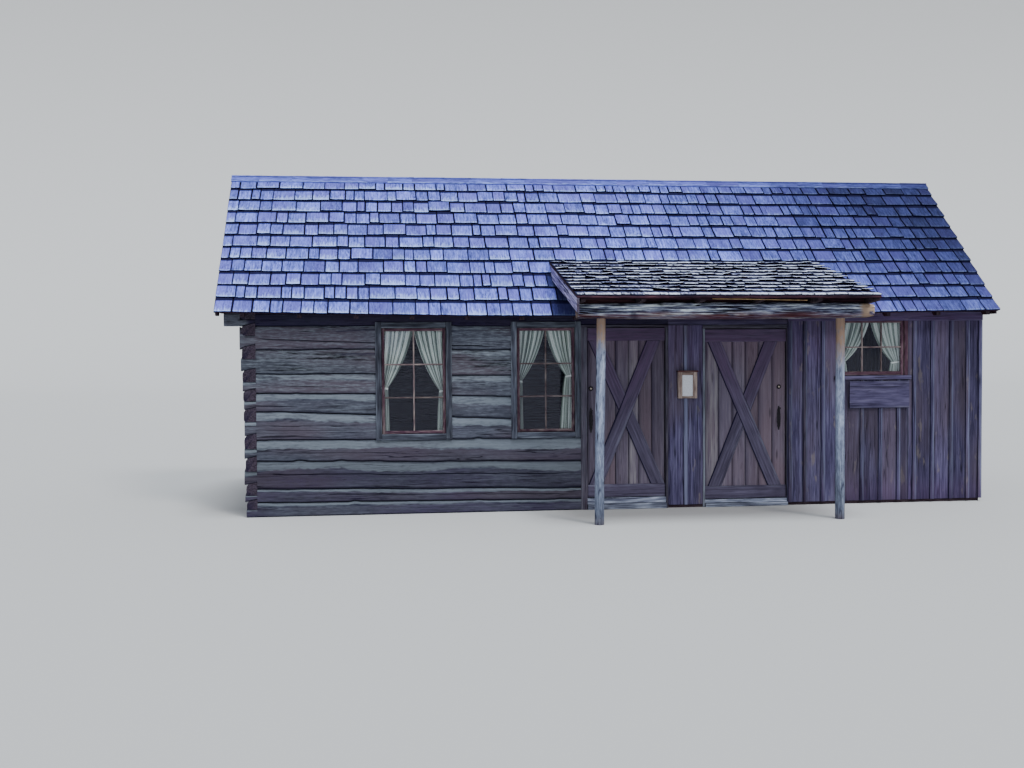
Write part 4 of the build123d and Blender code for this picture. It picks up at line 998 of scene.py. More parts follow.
def build_front_boards():
    heap = Heap()

    def board(a, b, tall, thick, seed, **look):
        upright(heap, (a + JOINT, BOARD_THICK, BOARD_FOOT), b - a - 2 * JOINT, tall, thick, seed, rows=3,
                edge=0.004, **look)

    window_lo, window_hi = box_of("window_3_frame")
    sill_z = box_of("window_3_sill")[0][2]
    cuts = sorted([BOARDS_LEFT, *BATTENS[1:], WALL_LENGTH, window_lo[0], window_hi[0]])
    for k, (a, b) in enumerate(pairs(cuts)):
        under_window = window_lo[0] - 0.01 < (a + b) / 2 < window_hi[0] + 0.01
        head = sill_z if under_window else BOARD_HEAD
        jut = 0.0 if k % 2 else 0.002
        dry = a < UNDER_PORCH
        board(a, b, head - BOARD_FOOT, BOARD_THICK - jut, 1200 + k, bow=0.003,
              paint=sheltered_paint if dry else damp_and_eave_shade, tone=0.85 if dry else None)
    for k, (a, b) in enumerate(pairs(DOOR_WALL)):
        board(a, b, DOOR_WALL_TALL, BOARD_THICK, 1240 + k, paint=sheltered_paint, tone=1.0)
    over_window = window_lo[0], window_hi[2], window_hi[0] - window_lo[0], OVER_WINDOW_TALL
    for k, (x, z, long, tall) in enumerate((over_window, OVER_DOOR)):
        level(heap, (x, BOARD_THICK, z), long, tall, BOARD_THICK, 1260 + k, paint=damp_and_eave_shade)
    look = dict(rows=1, edge=0.004, wander=0.003)
    for k, x in enumerate([*BATTENS, WALL_LENGTH - BATTEN_HALF]):
        head = sill_z if UNDER_WINDOW[0] < x < UNDER_WINDOW[1] else BATTEN_HEAD
        upright(heap, (x - BATTEN_HALF, 0.0, BOARD_FOOT), 2 * BATTEN_HALF, head - BOARD_FOOT, BATTEN_THICK,
                1300 + k, paint=batten_paint, **look)
    upright(heap, (DOOR_BATTEN_X, 0.0, BOARD_FOOT), DOOR_BATTEN_WIDE, DOOR_BATTEN_TALL, BATTEN_THICK, 1330,
            paint=pale_batten, tone=1.0, **look)
    heap.build("front_board_wall", "house", "weathered_boards", BOARDS, "front_boards")


def wall_boards(heap, start, end, base, side, out, foot, head_at, seed):
    """Boards and battens from start to end along side, measured from base; head_at gives their heads."""
    pitch = 0.229
    edges = np.linspace(start, end, round((end - start) / pitch) + 1)
    joints = (edges[:-1] + edges[1:]) / 2
    ridge = head_at(RIDGE_Y)
    for k, (a, b) in enumerate(pairs([start, *joints, end])):
        peaked = a < RIDGE_Y < b and head_at(a) != ridge
        slanted(heap, base + side * a, side, out, b - a - 0.003, BOARD_THICK, foot, head_at(a), head_at(b),
                seed + k, peak=(RIDGE_Y - a, ridge) if peaked else None)
    for k, joint in enumerate(joints):
        a, b = joint - BATTEN_HALF, joint + BATTEN_HALF
        slanted(heap, base + side * a + out * BOARD_THICK, side, out, 2 * BATTEN_HALF, BATTEN_THICK, foot,
                head_at(a), head_at(b), seed + 70 + k, batten=True)


def slanted(heap, origin, side, out, width, thick, foot, head_a, head_b, seed, batten=False, peak=None):
    """Upright board whose head is cut to a slope, or to a peak within its width."""
    pick = np.random.default_rng(seed)
    shares = np.array([0, 0, 0.03, 0.35, 0.65, 0.97, 1, 1])
    if peak:
        shares[3:5] = peak[0] / width
    v = shares * width
    w = np.array([0, thick - 0.004, *[thick] * 4, thick - 0.004, 0])
    heads = head_a + (head_b - head_a) * shares
    if peak:
        heads = np.where(shares < shares[3], head_a + (peak[1] - head_a) * shares / shares[3],
                         peak[1] + (head_b - peak[1]) * (shares - shares[3]) / (1 - shares[3]))
        v[4] += 0.002
    z = foot + (heads[None] - foot) * np.linspace(0, 1, max(4, int((max(heads) - foot) / 0.15)))[:, None]
    middle = (v / width - 0.5)[None] * 2
    v_all = v[None] - 0.0015 * (1 + noise(z / 0.35, np.sign(middle) + seed, 3)) * middle
    w_all = w[None] - np.where(w[None] > thick / 2, 0.0015 * (1 + noise(z / 0.7, seed + 0 * v[None], 5)), 0)
    ring = origin * np.array([1, 1, 0]) + v_all[..., None] * side + w_all[..., None] * out + z[..., None] * UP
    grain = np.stack([z, v_all, w_all], -1) + pick.uniform(0, 40, 3)
    mark = blank_mark(z.shape, pick.uniform())
    mark[:, [1, 2, 5, 6], PALE] = 0.3
    if batten:
        mark[..., PALE] = 0.5
    damp_and_eave_shade(mark, None, z)
    heap.sweep(ring, grain, mark)


def build_other_boards():
    """The back wall, the right wall, the left gable and the frieze."""
    def under_roof(a):
        return roof_under(a) - 0.004

    back_y, right_x = DEPTH - BOARD_THICK, WALL_LENGTH - BOARD_THICK
    for name, node, *wall in (
            ("back_board_wall", "back_boards", PEN_END, WALL_LENGTH, (0, back_y, 0), RIGHT, BACK, BOARD_FOOT,
             lambda a: BOARD_HEAD, 1400),
            ("right_board_wall", "right_boards", BOARD_THICK, back_y, (right_x, 0, 0), BACK, RIGHT,
             BOARD_FOOT, under_roof, 1500),
            ("left_gable_wall", "left_gable_boards", 0.0, DEPTH, (BOARD_THICK, 0, 0), BACK, -RIGHT, PLATE_TOP,
             under_roof, 1600)):
        heap = Heap()
        wall_boards(heap, *wall)
        heap.build(name, "house", "weathered_boards", BOARDS, node)
    heap = Heap()
    lo, hi = box_of("frieze_board")
    # Painted shade: the frieze under the eave gets the red mark
    level(heap, (lo[0], 0.0, lo[2]), hi[0] - lo[0], hi[2] - lo[2], BATTEN_THICK, 1700, edge=0.004,
          paint=even(red=0.6, tone=1.0))
    heap.build("frieze", "house", "weathered_boards", BOARDS, "frieze_board")


# Windows

CASING_WIDE, CASING_3_WIDE, CASING_3_DEEP = 0.07, 0.05, 0.125
SASH_WIDE, SASH_3_FOOT, SASH_FACE, SASH_BACK = 0.038, 0.05, 0.02, 0.055
INNER_SILL_X, INNER_SILL_LONG = 7.108, 0.915


def frame_boards(heap, lo, hi, thick, y_face, y_back, seed, foot=None, **look):
    """Four boards round an opening: the sides run full height, the head and foot lie between."""
    deep = y_back - y_face
    for k, x in enumerate((lo[0], hi[0] - thick)):
        upright(heap, (x, y_back, lo[2]), thick, hi[2] - lo[2], deep, seed + k, **look)
    wide = hi[0] - lo[0] - 2 * thick
    for k, (z, tall) in enumerate(((lo[2], foot or thick), (hi[2] - thick, thick))):
        level(heap, (lo[0] + thick, y_back, z), wide, tall, deep - 0.001, seed + 2 + k, **look)


def sash_paint(mark, u, z):
    mark[..., PALE] = np.maximum(mark[..., PALE], 0.25 * (1 - ramp(z, 0.95, 1.6)))


def lights(heap, lo, hi, across, up, seed):
    """Thin bars that divide a pane into lights."""
    bar, front, deep, lap = 0.018, 0.026, 0.024, 0.004
    look = dict(edge=0.005, rows=0, wander=0.0004, bow=0.0, paint=even(pale=0.5))
    for k in range(1, across):
        x = lo[0] + (hi[0] - lo[0]) * k / across - bar / 2
        upright(heap, (x, front + deep, lo[2] - lap), bar, hi[2] - lo[2] + 2 * lap, deep, seed + k, **look)
    for k in range(1, up):
        z = lo[2] + (hi[2] - lo[2]) * k / up - bar / 2
        level(heap, (lo[0] - lap, front + deep - 0.001, z), hi[0] - lo[0] + 2 * lap, bar, deep - 0.002,
              seed + 5 + k, **look)


def build_windows():
    sashes, bars = Heap(), Heap()
    for k, name in enumerate(("window_1", "window_2")):
        lo, hi = box_of(f"{name}_frame")
        seed = 1800 + 10 * k
        heap = Heap()
        frame_boards(heap, lo, hi, CASING_WIDE, lo[1], hi[1], seed, edge=0.005, bow=0.003)
        level(heap, (lo[0] + 0.002, 0.0, lo[2] + 0.001), hi[0] - lo[0] - 0.004, 0.02, 0.012, seed + 5,
              edge=0.004)
        heap.build(f"{name}_casing", "house", "casing_wood", CASING, f"{name}_frame")
        lo, hi = lo + CASING_WIDE, hi - CASING_WIDE
        frame_boards(sashes, lo, hi, SASH_WIDE, SASH_FACE, SASH_BACK, seed + 50, edge=0.006, paint=sash_paint)
        lights(bars, lo + SASH_WIDE, hi - SASH_WIDE, 2, 3, seed + 70)
    lo, hi = box_of("window_3_frame")
    side, deep = CASING_3_WIDE, CASING_3_DEEP
    heap = Heap()
    for k, x in enumerate((lo[0], hi[0] - side)):
        upright(heap, (x, deep, lo[2]), side, hi[2] - lo[2], deep, 1900 + k, tone=0.3, paint=even(red=0.5),
                edge=0.005)
    level(heap, (lo[0] + side, deep, hi[2] - side), hi[0] - lo[0] - 2 * side, side, deep - 0.001, 1903,
          tone=0.2, paint=even(red=0.5))
    heap.build("window_3_casing", "house", "sash_wood", SASH, "window_3_frame")
    lo, hi = lo + (side, 0, 0), hi - (side, 0, side)
    frame_boards(sashes, lo, hi, SASH_WIDE, SASH_FACE, SASH_BACK, 1910, foot=SASH_3_FOOT, edge=0.006)
    lights(bars, lo + (SASH_WIDE, 0, SASH_3_FOOT), hi - SASH_WIDE, 3, 2, 1920)
    sashes.build("window_sashes", "house", "sash_wood", SASH, "sashes")
    bars.build("window_bars", "house", "sash_wood", SASH)
    lo, hi = box_of("window_3_sill")
    heap = Heap()
    level(heap, (lo[0], 0.0, lo[2]), hi[0] - lo[0], hi[2] - lo[2], -lo[1], 1930, edge=0.008,
          paint=sheltered_paint, rows=3, tone=1.0)
    level(heap, (INNER_SILL_X, deep, lo[2]), INNER_SILL_LONG, hi[2] - lo[2], deep, 1931)
    heap.build("window_3_sill_board", "house", "weathered_boards", BOARDS, "window_3_sill")


# Curtains: sheer panels gathered on a rod and tied back

ROD_Y, ROD_DROP, HEADING, FOOT_GAP = 0.092, 0.026, 0.013, 0.02
JAMB_GAP, FULLNESS, PLEAT_DEEP = 0.003, 1.5, 0.0098
# For each panel: how far down its tie is, and its width there and at its hem
TIES = {
    ("window_1", "left"): (0.57, 0.07, 0.09), ("window_1", "right"): (0.6, 0.07, 0.1),
    ("window_2", "left"): (0.51, 0.07, 0.08), ("window_2", "right"): (0.46, 0.1, 0.17),
    ("window_3", "left"): (0.77, 0.09, 0.12), ("window_3", "right"): (0.77, 0.13, 0.16),
}


def cloth_piece(name, co, faces, grain, fold, *nodes):
    return make_piece(name, "house", "curtain_cloth", CLOTH, nodes, co.reshape(-1, 3), faces.tolist(),
                      grain=grain, fold=fold)


def curtain(name, node, side_x, middle_x, rod_z, foot_z, seed, at_tie, tie, hem):
    """One panel between the jamb at side_x and the middle of the window."""
    way = 1 if middle_x > side_x else -1
    full = abs(middle_x - side_x) - 0.007
    pleats, samples, rows = 15, 8, 64
    s = np.linspace(0, 1, pleats * samples + 1)[None]
    t = np.linspace(0, 1, rows)[:, None]
    head_z = rod_z + HEADING
    upper, lower = np.clip(t / at_tie, 0, 1), np.clip((t - at_tie) / (1 - at_tie), 0, 1)
    wide = np.where(t < at_tie, full + (tie - full) * upper ** 1.25, tie + (hem - tie) * lower ** 0.6)
    swing = 0.05 * np.sin(math.pi * upper) * s
    z = head_z + (foot_z - head_z) * t - np.where(t < at_tie, swing * (full / 0.36), 0)
    phase = 2 * math.pi * pleats * (s + 0.012 * np.sin(9 * s + seed))
    tight = PLEAT_DEEP * (0.85 + 0.15 * noise(s * 6, seed + 0 * t, 51)) * (0.6 + 0.4 * ramp(t, 0.03, 0.12))
    pinch = np.exp(-((t - at_tie) / 0.03) ** 2)
    y = ROD_Y + tight * np.sin(phase) * (1 - 0.25 * pinch)
    slow = noise(s * 6.5, seed + 0.5 + 0.7 * t, 52)
    # Painted light and shade of the folds, which the cloth's colour follows
    fold = 0.5 + 0.36 * np.sin(phase / 2.4 + 2.5 * slow) + 0.2 * np.sin(phase + 0.9) + 0.25 * slow
    co = stack(side_x + way * (JAMB_GAP + wide * s), y, z)
    k = np.arange(co[..., 0].size).reshape(co.shape[:2])
    faces = np.stack([k[:-1, :-1], k[:-1, 1:], k[1:, 1:], k[1:, :-1]], -1).reshape(-1, 4)
    flat = FULLNESS * full, head_z - foot_z
    piece = cloth_piece(name, co, faces, stack(s * flat[0], t * flat[1], 0 * s), np.clip(fold, 0, 1), node)
    band = tie_band(f"{name}_tie", side_x, way, float(head_z + (foot_z - head_z) * at_tie), tie)


def tie_band(name, side_x, way, z, tie):
    """Narrow cloth band round the gathered curtain, caught at the jamb."""
    count = 24
    a = np.linspace(0, 2 * math.pi, count + 1)[:-1]
    x = side_x + way * (JAMB_GAP + tie / 2 + (tie / 2 + 0.002) * np.cos(a))
    y = ROD_Y + 0.0105 * np.sin(a)
    drop = 0.012 * (x - side_x) / 0.07 * way
    co = np.stack([stack(x + grow * np.cos(a), y + grow * np.sin(a), z + dz - drop)
                   for dz, grow in ((-0.012, 0.0), (-0.012, 0.0015), (0.012, 0.0015), (0.012, 0.0))], 1)
    k = np.arange(count * 4).reshape(count, 4)
    turned = np.roll(k, -1, 0)
    faces = np.stack([k, np.roll(k, -1, 1), np.roll(turned, -1, 1), turned], -1).reshape(-1, 4)
    return cloth_piece(name, co, faces, co, np.full(count * 4, 0.8))


def build_curtains():
    for k, name in enumerate(("window_1", "window_2", "window_3")):
        lo, hi = box_of(f"{name}_frame")
        wide, foot = (CASING_3_WIDE, 0.0) if name == "window_3" else (CASING_WIDE, CASING_WIDE)
        left, right, foot, head = lo[0] + wide, hi[0] - wide, lo[2] + foot, hi[2] - wide
        for side, x in (("left", left), ("right", right)):
            curtain(f"{name}_curtain_{side}", f"{name}_curtains", x, (left + right) / 2, head - ROD_DROP,
                    foot + FOOT_GAP, 3 + k + 10 * (side == "right"), *TIES[name, side])


# Doors

# For each door: its sides, its foot and head, whether its hinges are at the right, its planks' edges and
# tones, the brace that runs through, and how far the braces stand in
DOORS = {
    "left_door": ((4.031, 4.974), (0.141, 2.162), True, (0, 0.19, 0.36, 0.53, 0.66, 0.83, 1),
                  (0.35, 0.5, 0.45, 0.9, 0.4, 0.25), "/", (0.012, 0.005, 0.054)),
    "right_door": ((5.465, 6.478), (0.093, 2.141), False, (0, 0.17, 0.34, 0.5, 0.66, 0.83, 1),
                   (1.0, 0.84, 0.84, 0.7, 0.82, 0.75), "\\", (0.036, 0.058, 0.104)),
}
LEAF_FACE, LEAF_BACK, BRACE_DEEP, PLANK_DEEP = 0.03, 0.08, 0.02, 0.03


def quad_board(heap, corners, y_face, thick, seed, tone):
    """Board between two edges: corners are (x, z) of its foot's left and right, then its head's.

    Painted shade makes its left edge dark.
    """
    (ax, az), (bx, bz), (cx, cz), (dx, dz) = corners
    run, width, edge = math.hypot(cx - ax, cz - az), math.hypot(bx - ax, bz - az), 0.008
    u = np.linspace(0, 1, max(3, int(run / 0.12)))[:, None]
    bevel = edge / width
    share = np.array([0, 0, bevel, 2 * bevel, 0.4, 0.65, 1 - bevel, 1, 1])[None]
    w = np.array([0, thick - edge, *[thick] * 5, thick - edge, 0])[None]
    sway = 1 + noise(u * run / 0.3, np.sign(share - 0.5) + seed, 3)
    share = share - 0.0012 / width * sway * (share - 0.5) * 2
    w = w - np.where(w > thick / 2, 0.0008 * (1 + noise(u * run / 0.3, seed + 0 * share, 4)), 0)
    left_x, left_z = ax + (cx - ax) * u, az + (cz - az) * u
    right_x, right_z = bx + (dx - bx) * u, bz + (dz - bz) * u
    ring = stack(left_x + (right_x - left_x) * share, y_face + thick - w, left_z + (right_z - left_z) * share)
    grain = stack(u * run, share * width, w) + grain_shift(seed)
    mark = blank_mark(ring.shape[:2], tone)
    mark[:, -3:-1, PALE] = 0.35
    mark[:, :2, DARK] = 0.95
    mark[:, 2, DARK] = 0.7
    mark[..., RED] = 0.6 * ramp(ring[..., 2], 0.8, 1.8)
    heap.sweep(ring, grain, mark)


def brace(x_low, x_high, low, high):
    """Corners of a diagonal brace with level ends: foot left and right, then head left and right."""
    width = 0.16
    way = 1 if x_high > x_low else -1
    run = x_high - x_low
    wide = width / math.sin(math.atan2(high - low, abs(run)))
    wide = way * width / math.sin(math.atan2(high - low, abs(run - way * wide)))
    foot, head = sorted((x_low, x_low + wide)), sorted((x_high, x_high - wide))
    return (foot[0], low), (foot[1], low), (head[0], high), (head[1], high)


def meet(a, b, line):
    """Where the line through a and b crosses another line, both in (x, z)."""
    (x1, z1), (x2, z2) = a, b
    (x3, z3), (x4, z4) = line
    det = (x1 - x2) * (z3 - z4) - (z1 - z2) * (x3 - x4)
    p, q = x1 * z2 - z1 * x2, x3 * z4 - z3 * x4
    return (p * (x3 - x4) - (x1 - x2) * q) / det, (p * (z3 - z4) - (z1 - z2) * q) / det


def cut_by(cut, through):
    """Where the two edges of one brace meet the lower and the upper side of the other."""
    sides = [[meet(cut[0], cut[2], line), meet(cut[1], cut[3], line)]
             for line in zip(through[:2], through[2:])]
    return sorted(sides, key=lambda pair: pair[0][1] + pair[1][1])


def plank_paint(mark, u, z):
    mark[..., RED] = np.maximum(mark[..., RED], 0.4 * ramp(z, 1.5, 2.2))
    mark[..., PALE] = np.where(mark[..., TONE] > 0.85, 0.35, 0.5 * mark[..., PALE])
    mark[..., TONE] += 0.2 * (1 - ramp(z, 0.3, 1.1))
    mark[:, 1:3, DARK] = 0.5


def rail_paint(mark, u, z):
    """The upper rail is painted redder and darker under the eave: painted shade."""
    high = ramp(z, 1.8, 2.0)
    mark[..., RED], mark[..., TONE] = 0.7 * high, 0.6 - 0.1 * high


def build_door(name, x, z, hinge_right, plank_edges, tones, slash, insets):
    """Planks, two rails and an X of braces; slash says which brace runs through.

    insets are how far the braces stand in at the left, at the right foot and at the right head.
    """
    rail = 0.155
    heap = Heap()
    edges = [x[0] + (x[1] - x[0]) * e for e in plank_edges]
    for k, (a, b) in enumerate(pairs(edges)):
        upright(heap, (a + JOINT, LEAF_BACK, z[0] + JOINT), b - a - 2 * JOINT, z[1] - z[0] - 2 * JOINT,
                PLANK_DEEP, 2000 + k + 40 * hinge_right, edge=0.005, rows=3, tone=tones[k], paint=plank_paint)
    heap.build(f"{name}_planks", name, "door_planks", DOOR, f"{name}_leaf")
    heap = Heap()
    for k, foot in enumerate((z[0], z[1] - rail)):
        level(heap, (x[0] + JOINT, LEAF_FACE + BRACE_DEEP, foot), x[1] - x[0] - 2 * JOINT, rail, BRACE_DEEP,
              2100 + k + 10 * hinge_right, edge=0.005, rows=3, paint=rail_paint)
    low, high = z[0] + rail, z[1] - rail
    left, right_foot, right_head = x[0] + insets[0], x[1] - insets[1], x[1] - insets[2]
    through, cut = brace(left, right_head, low, high), brace(right_foot, left, low, high)
    if slash == "\\":
        through, cut = cut, through
    quad_board(heap, through, LEAF_FACE, BRACE_DEEP, 2150 + hinge_right, 0.55)
    near, far = cut_by(cut, through)
    for half, board in enumerate(((cut[0], cut[1], *near), (*far, cut[2], cut[3]))):
        quad_board(heap, board, LEAF_FACE + 0.001, BRACE_DEEP - 0.001, 2160 + half + 4 * hinge_right, 0.4)
    heap.build(f"{name}_brace_boards", name, "door_braces", BRACE, f"{name}_braces")


# Of each jamb: left side, width, face, back, head, tone and paint. The dark red jambs at 4.979 and 6.485
# stand in the doorways' shade: painted shade.
JAMBS = (
    (3.946, 0.078, 0.0, 0.17, 2.168, 0.5, even(red=0.5)),
    (4.979, 0.026, 0.0, 0.08, 2.168, 0.3, even(red=0.5)),
    (5.434, 0.026, 0.0, 0.08, 2.147, 0.95, even(pale=0.8)),
    (6.485, 0.026, 0.025, 0.08, 2.147, 0.2, even(red=0.5)),
)
# Of each head board: both ends, its foot and its head; of each sill: both ends and its head
DOOR_HEADS = (3.946, 5.005, 2.168, 2.198), (5.434, 6.483, 2.147, 2.19)
DOOR_SILLS = (4.024, 4.979, 0.135), (5.46, 6.485, 0.087)
SILL_BACK = 0.15


def build_doors():
    for name, door in DOORS.items():
        build_door(name, *door)


def build_door_frames():
    heap = Heap()
    for k, (x, wide, face, back, head, tone, paint) in enumerate(JAMBS):
        upright(heap, (x, back, 0.0), wide, head, back - face, 2300 + k, rows=1, tone=tone, paint=paint,
                edge=0.004)
    heap.build("door_jamb_boards", "house", "casing_wood", CASING, "door_jambs")
    heap = Heap()
    for k, (a, b, foot, head) in enumerate(DOOR_HEADS):
        level(heap, (a, LEAF_BACK, foot), b - a, head - foot, LEAF_BACK, 2320 + k, rows=1, tone=0.3,
              paint=even(red=0.5))
    heap.build("door_head_boards", "house", "casing_wood", CASING, "door_heads")
    heap = Heap()
    for k, (a, b, head) in enumerate(DOOR_SILLS):
        half = head * 0.5
        level(heap, (a, SILL_BACK, 0.0), b - a, half, 0.17, 2330 + k, rows=1, tone=0.1)
        level(heap, (a, SILL_BACK, half), b - a, half, 0.14, 2340 + k, rows=1, edge=0.006, tone=0.9)
    heap.build("door_sill_boards", "house", "door_sill_wood", SILL, "door_sills")


# Porch

# The posts: x at the foot and at the head, and the height where the tan bark begins
POSTS = (3.932, 3.962, 1.75), (6.666, 6.666, 1.5)
POST_TALL, POST_RADIUS = 2.24, 0.052
BEAM_Y, BEAM_Z, BEAM_RADIUS, BEAM_UNDERSIDE = -1.143, 2.321, 0.079, 2.292
BEAM_X = np.concatenate([[3.694, 3.7, 3.72], np.arange(3.76, 6.98, 0.04), [6.99, 7.01, 7.025, 7.038]])
BEAM_MIDDLE, BEAM_HALF = 5.366, 1.672
BLOCK_BACK, BLOCK_FOOT = -1.13, 2.392
PORCH_UP = np.array([0, math.cos(PORCH_PITCH), math.sin(PORCH_PITCH)])
PORCH_OUT = np.array([0, -math.sin(PORCH_PITCH), math.cos(PORCH_PITCH)])
PORCH_DECK = 0.02


def round_log(heap, path, radius, seed, sides=28, rough=0.004, mark_of=None, flat=None):
    """Log along path points with a radius at each, lumpy and slightly out of round."""
    along = np.gradient(path, axis=0)
    along = along / np.linalg.norm(along, axis=1)[:, None]
    first = np.cross(along, BACK if abs(along[0][1]) < 0.9 else RIGHT)
    first = first / np.linalg.norm(first, axis=1)[:, None]
    second = np.cross(along, first)
    a = np.linspace(0, 2 * math.pi, sides + 1)[:-1][None]
    run = np.concatenate([[0], np.cumsum(np.linalg.norm(np.diff(path, axis=0), axis=1))])[:, None]
    x, y = np.cos(a), np.sin(a)
    lumps = noise(run / 0.25 + 3 * x, 2.5 * y + seed, 61) * rough
    r = radius[:, None] + (lumps + noise(run / 0.06 + 5 * x, 5 * y + seed, 62) * rough * 0.4)
    px, py = r * x, r * y
    if flat:
        px, py = flat(px, py)
    ring = path[:, None] + px[..., None] * first[:, None] + py[..., None] * second[:, None]
    mark = blank_mark(ring.shape[:2])
    if mark_of:
        mark_of(mark, ring, a)
    heap.sweep(ring, stack(run, px, py) + grain_shift(seed), mark)


def build_posts():
    heap = Heap()
    for k, (foot_x, head_x, tan_from) in enumerate(POSTS):
        z = np.linspace(0.0008, 2.25, 60)
        bend = 0.006 * noise(z / 0.8, 3.0 * k + 0.5, 63)
        path = stack(foot_x + (head_x - foot_x) * z / POST_TALL + bend, BEAM_Y + bend * 0.6, z)
        radius = POST_RADIUS - 0.004 * z / POST_TALL + 0.002 * noise(z / 0.3, k + 0.5, 64)

        def peeled(mark, ring, a):
            """Tan bark near the head, dark knots, and grey wood that grows darker towards the foot and is
            redder at the ground.
            """
            height = ring[..., 2]
            tan = ramp(height, tan_from, 2.2)
            mark[..., PALE] = tan * 0.85
            mark[..., RED] = np.maximum(tan * 0.35, 0.5 * (1 - ramp(height, 0.0, 0.12)))
            spots = noise(height / 0.035, np.cos(a) * 2.2 + k, 65)
            mark[..., DARK] = 0.75 * ramp(spots, 0.68, 0.88) * (1 - tan * 0.7)
            mark[..., TONE] = 0.95 - 0.75 * (1 - ramp(height, 0.0, 1.1)) - 0.1 * tan

        round_log(heap, path, radius, 2500 + k, rough=0.0025, mark_of=peeled)
    heap.build("porch_post_logs", "house", "post_log", POST, "porch_posts", sharp=60)


def squared(px, py):
    """Makes a round cross-section squarer, as a hewn log is; px is sideways from the axis and py up."""
    power, size, angle = 0.62, np.hypot(px, py), np.arctan2(py, px)
    c, s = np.cos(angle), np.sin(angle)
    return np.sign(c) * np.abs(c) ** power * size * 0.98, np.sign(s) * np.abs(s) ** power * size


def weathered(mark, ring, a):
    """The beam: pale above, red along its underside and painted darker there as shade, with rot holes and a
    broken right end.
    """
    x, z = ring[..., 0], ring[..., 2]
    line = BEAM_UNDERSIDE + 0.016 * noise(x / 0.35, 0.5, 69) + 0.008 * noise(x / 0.07, 1.5, 69)
    under = 1 - ramp(z, line - 0.012, line + 0.012)
    broken = ramp(x, 6.84, 6.93) * (noise(x / 0.05, z / 0.03, 66) > -0.25)
    holes = noise(x / 0.1, z / 0.022, 67)
    mark[..., PALE] = broken * 1.1
    mark[..., DARK] = np.maximum(0.3 * (1 - ramp(z, 2.24, 2.27)), 0.7 * ramp(holes, 0.55, 0.8) * (1 - broken))
    mark[..., RED] = under * 0.9 * (1 - 0.7 * broken)
    mark[..., TONE] = 0.72 + 0.25 * noise(x / 0.7, z / 0.05, 68) - 0.3 * under


def build_beam():
    heap = Heap()
    radius = BEAM_RADIUS + 0.016 * (1 - ((BEAM_X - BEAM_MIDDLE) / BEAM_HALF) ** 2)
    ends = 1 - 0.16 * ramp(BEAM_X, 6.97, 7.04) - 0.04 * (1 - ramp(BEAM_X, 3.69, 3.72))
    round_log(heap, stack(BEAM_X, BEAM_Y, BEAM_Z), radius * ends, 2600, sides=40, rough=0.0045,
              mark_of=weathered, flat=squared)
    heap.build("porch_beam_log", "house", "beam_log", BEAM, "porch_beam", sharp=50)


def old_shake(heap, x, width, v, length, butt, seed, lift, tilt, bright, tone, first):
    """Thin curled shake: its butt stands off the course below, more at one corner, and is worn ragged."""
    pick = np.random.default_rng(seed)
    shown = pick.uniform(0.8, 1.25)
    v_row = np.array([0, 0.005, 0.03 * shown, 0.065 * shown, 0.105 * shown, PORCH_EXPOSURE - 0.012,
                      length])[:, None]
    v_row = np.maximum.accumulate(np.minimum(v_row, length - np.arange(6, -1, -1)[:, None] * 0.001))
    side = min(0.006, width / 5)
    x_row = np.array([0, side, width * 0.25, width * 0.5, width * 0.75, width - side, width])[None]
    ragged = 0.014 * (1 + noise(x_row / 0.022, seed * 0.7, 31))
    fade = np.clip(1 - v_row / 0.12, 0, 1) ** 1.4
    raised = lift * (0.6 + 0.5 * tilt * (x_row / width - 0.5) * 2)
    raised = raised + 0.003 * noise(x_row / 0.04, seed * 0.3, 34)
    top = butt + (PORCH_LOW - butt) * v_row / PORCH_EXPOSURE + np.maximum(raised, 0) * fade
    top = top + 0.0012 * noise(v_row / 0.05, x_row / 0.025 + seed, 33)
    bottom = np.maximum(top - (0.03 if first else 0.011 - 0.006 * v_row / length), 0.0004)
    top = np.maximum(top, bottom + 0.003)
    top[0] = bottom[0] + 0.6 * butt if first else top[0] - 0.003
    m = x_row.shape[1]
    every = slice(None)
    # Painted light and shade: worn gives the painted sunlight on the butt rows, lapped the painted shadow
    # behind each butt; the edges and underside get painted shade too
    worn, lapped = (np.array(shares)[:, None] for shares in ((1.0, 1.0, 0.9, 0.3), (0.3, 0.88, 0.95, 0.95)))
    lay(heap, porch_point, x, v, x_row, v_row, v_row + ragged * (1 - v_row / length), top, bottom, seed, pick,
        ((every, every, TONE, tone), (slice(4), slice(m), PALE, bright * worn),
         (every, [0, m - 1], DARK, 0.8), (slice(3, None), every, DARK, lapped),
         (every, slice(m, None), DARK, 0.95)))


def build_porch_roof():
    heap = Heap()
    for k in range(int(porch_limit(PORCH_BUTT) / PORCH_EXPOSURE) + 1):
        pick = np.random.default_rng(5000 + k)
        edges = widths(pick, *PORCH_X, 0.08, 0.21)
        for j, (a, b) in enumerate(pairs(edges)):
            foot = k * PORCH_EXPOSURE + (abs(pick.normal(0, 0.02)) if k else pick.uniform(0, 0.012))
            length = min(PORCH_EXPOSURE + 0.03, porch_limit(0.006) - foot)
            if length < 0.03:
                continue
            gap = pick.uniform(0.003, 0.012)
            # Painted sunlight and shade: sunny shakes get bright butts, the rest darker, fewer sunny at the
            # left end
            sunny = 0.42 + 0.5 * float(ramp(a, 3.9, 4.9)) > pick.uniform()
            butt = PORCH_BUTT - 0.001 - pick.uniform(0.0, 0.007)
            old_shake(heap, a + gap / 2, b - a - gap, foot, length, butt, 6000 + k * 97 + j,
                      lift=0.0 if k == 0 else 0.003 + 0.019 * pick.uniform() ** 1.5, tilt=pick.uniform(-1, 1),
                      bright=pick.uniform(0.85, 1.4) if sunny else pick.uniform(0.25, 0.7),
                      tone=pick.uniform(0.7, 1.0) if sunny else pick.uniform(0.45, 0.85), first=k == 0)
    heap.build("porch_roof_shakes", "house", "porch_shakes", OLD_SHAKES, "porch_shakes")
    build_porch_deck()


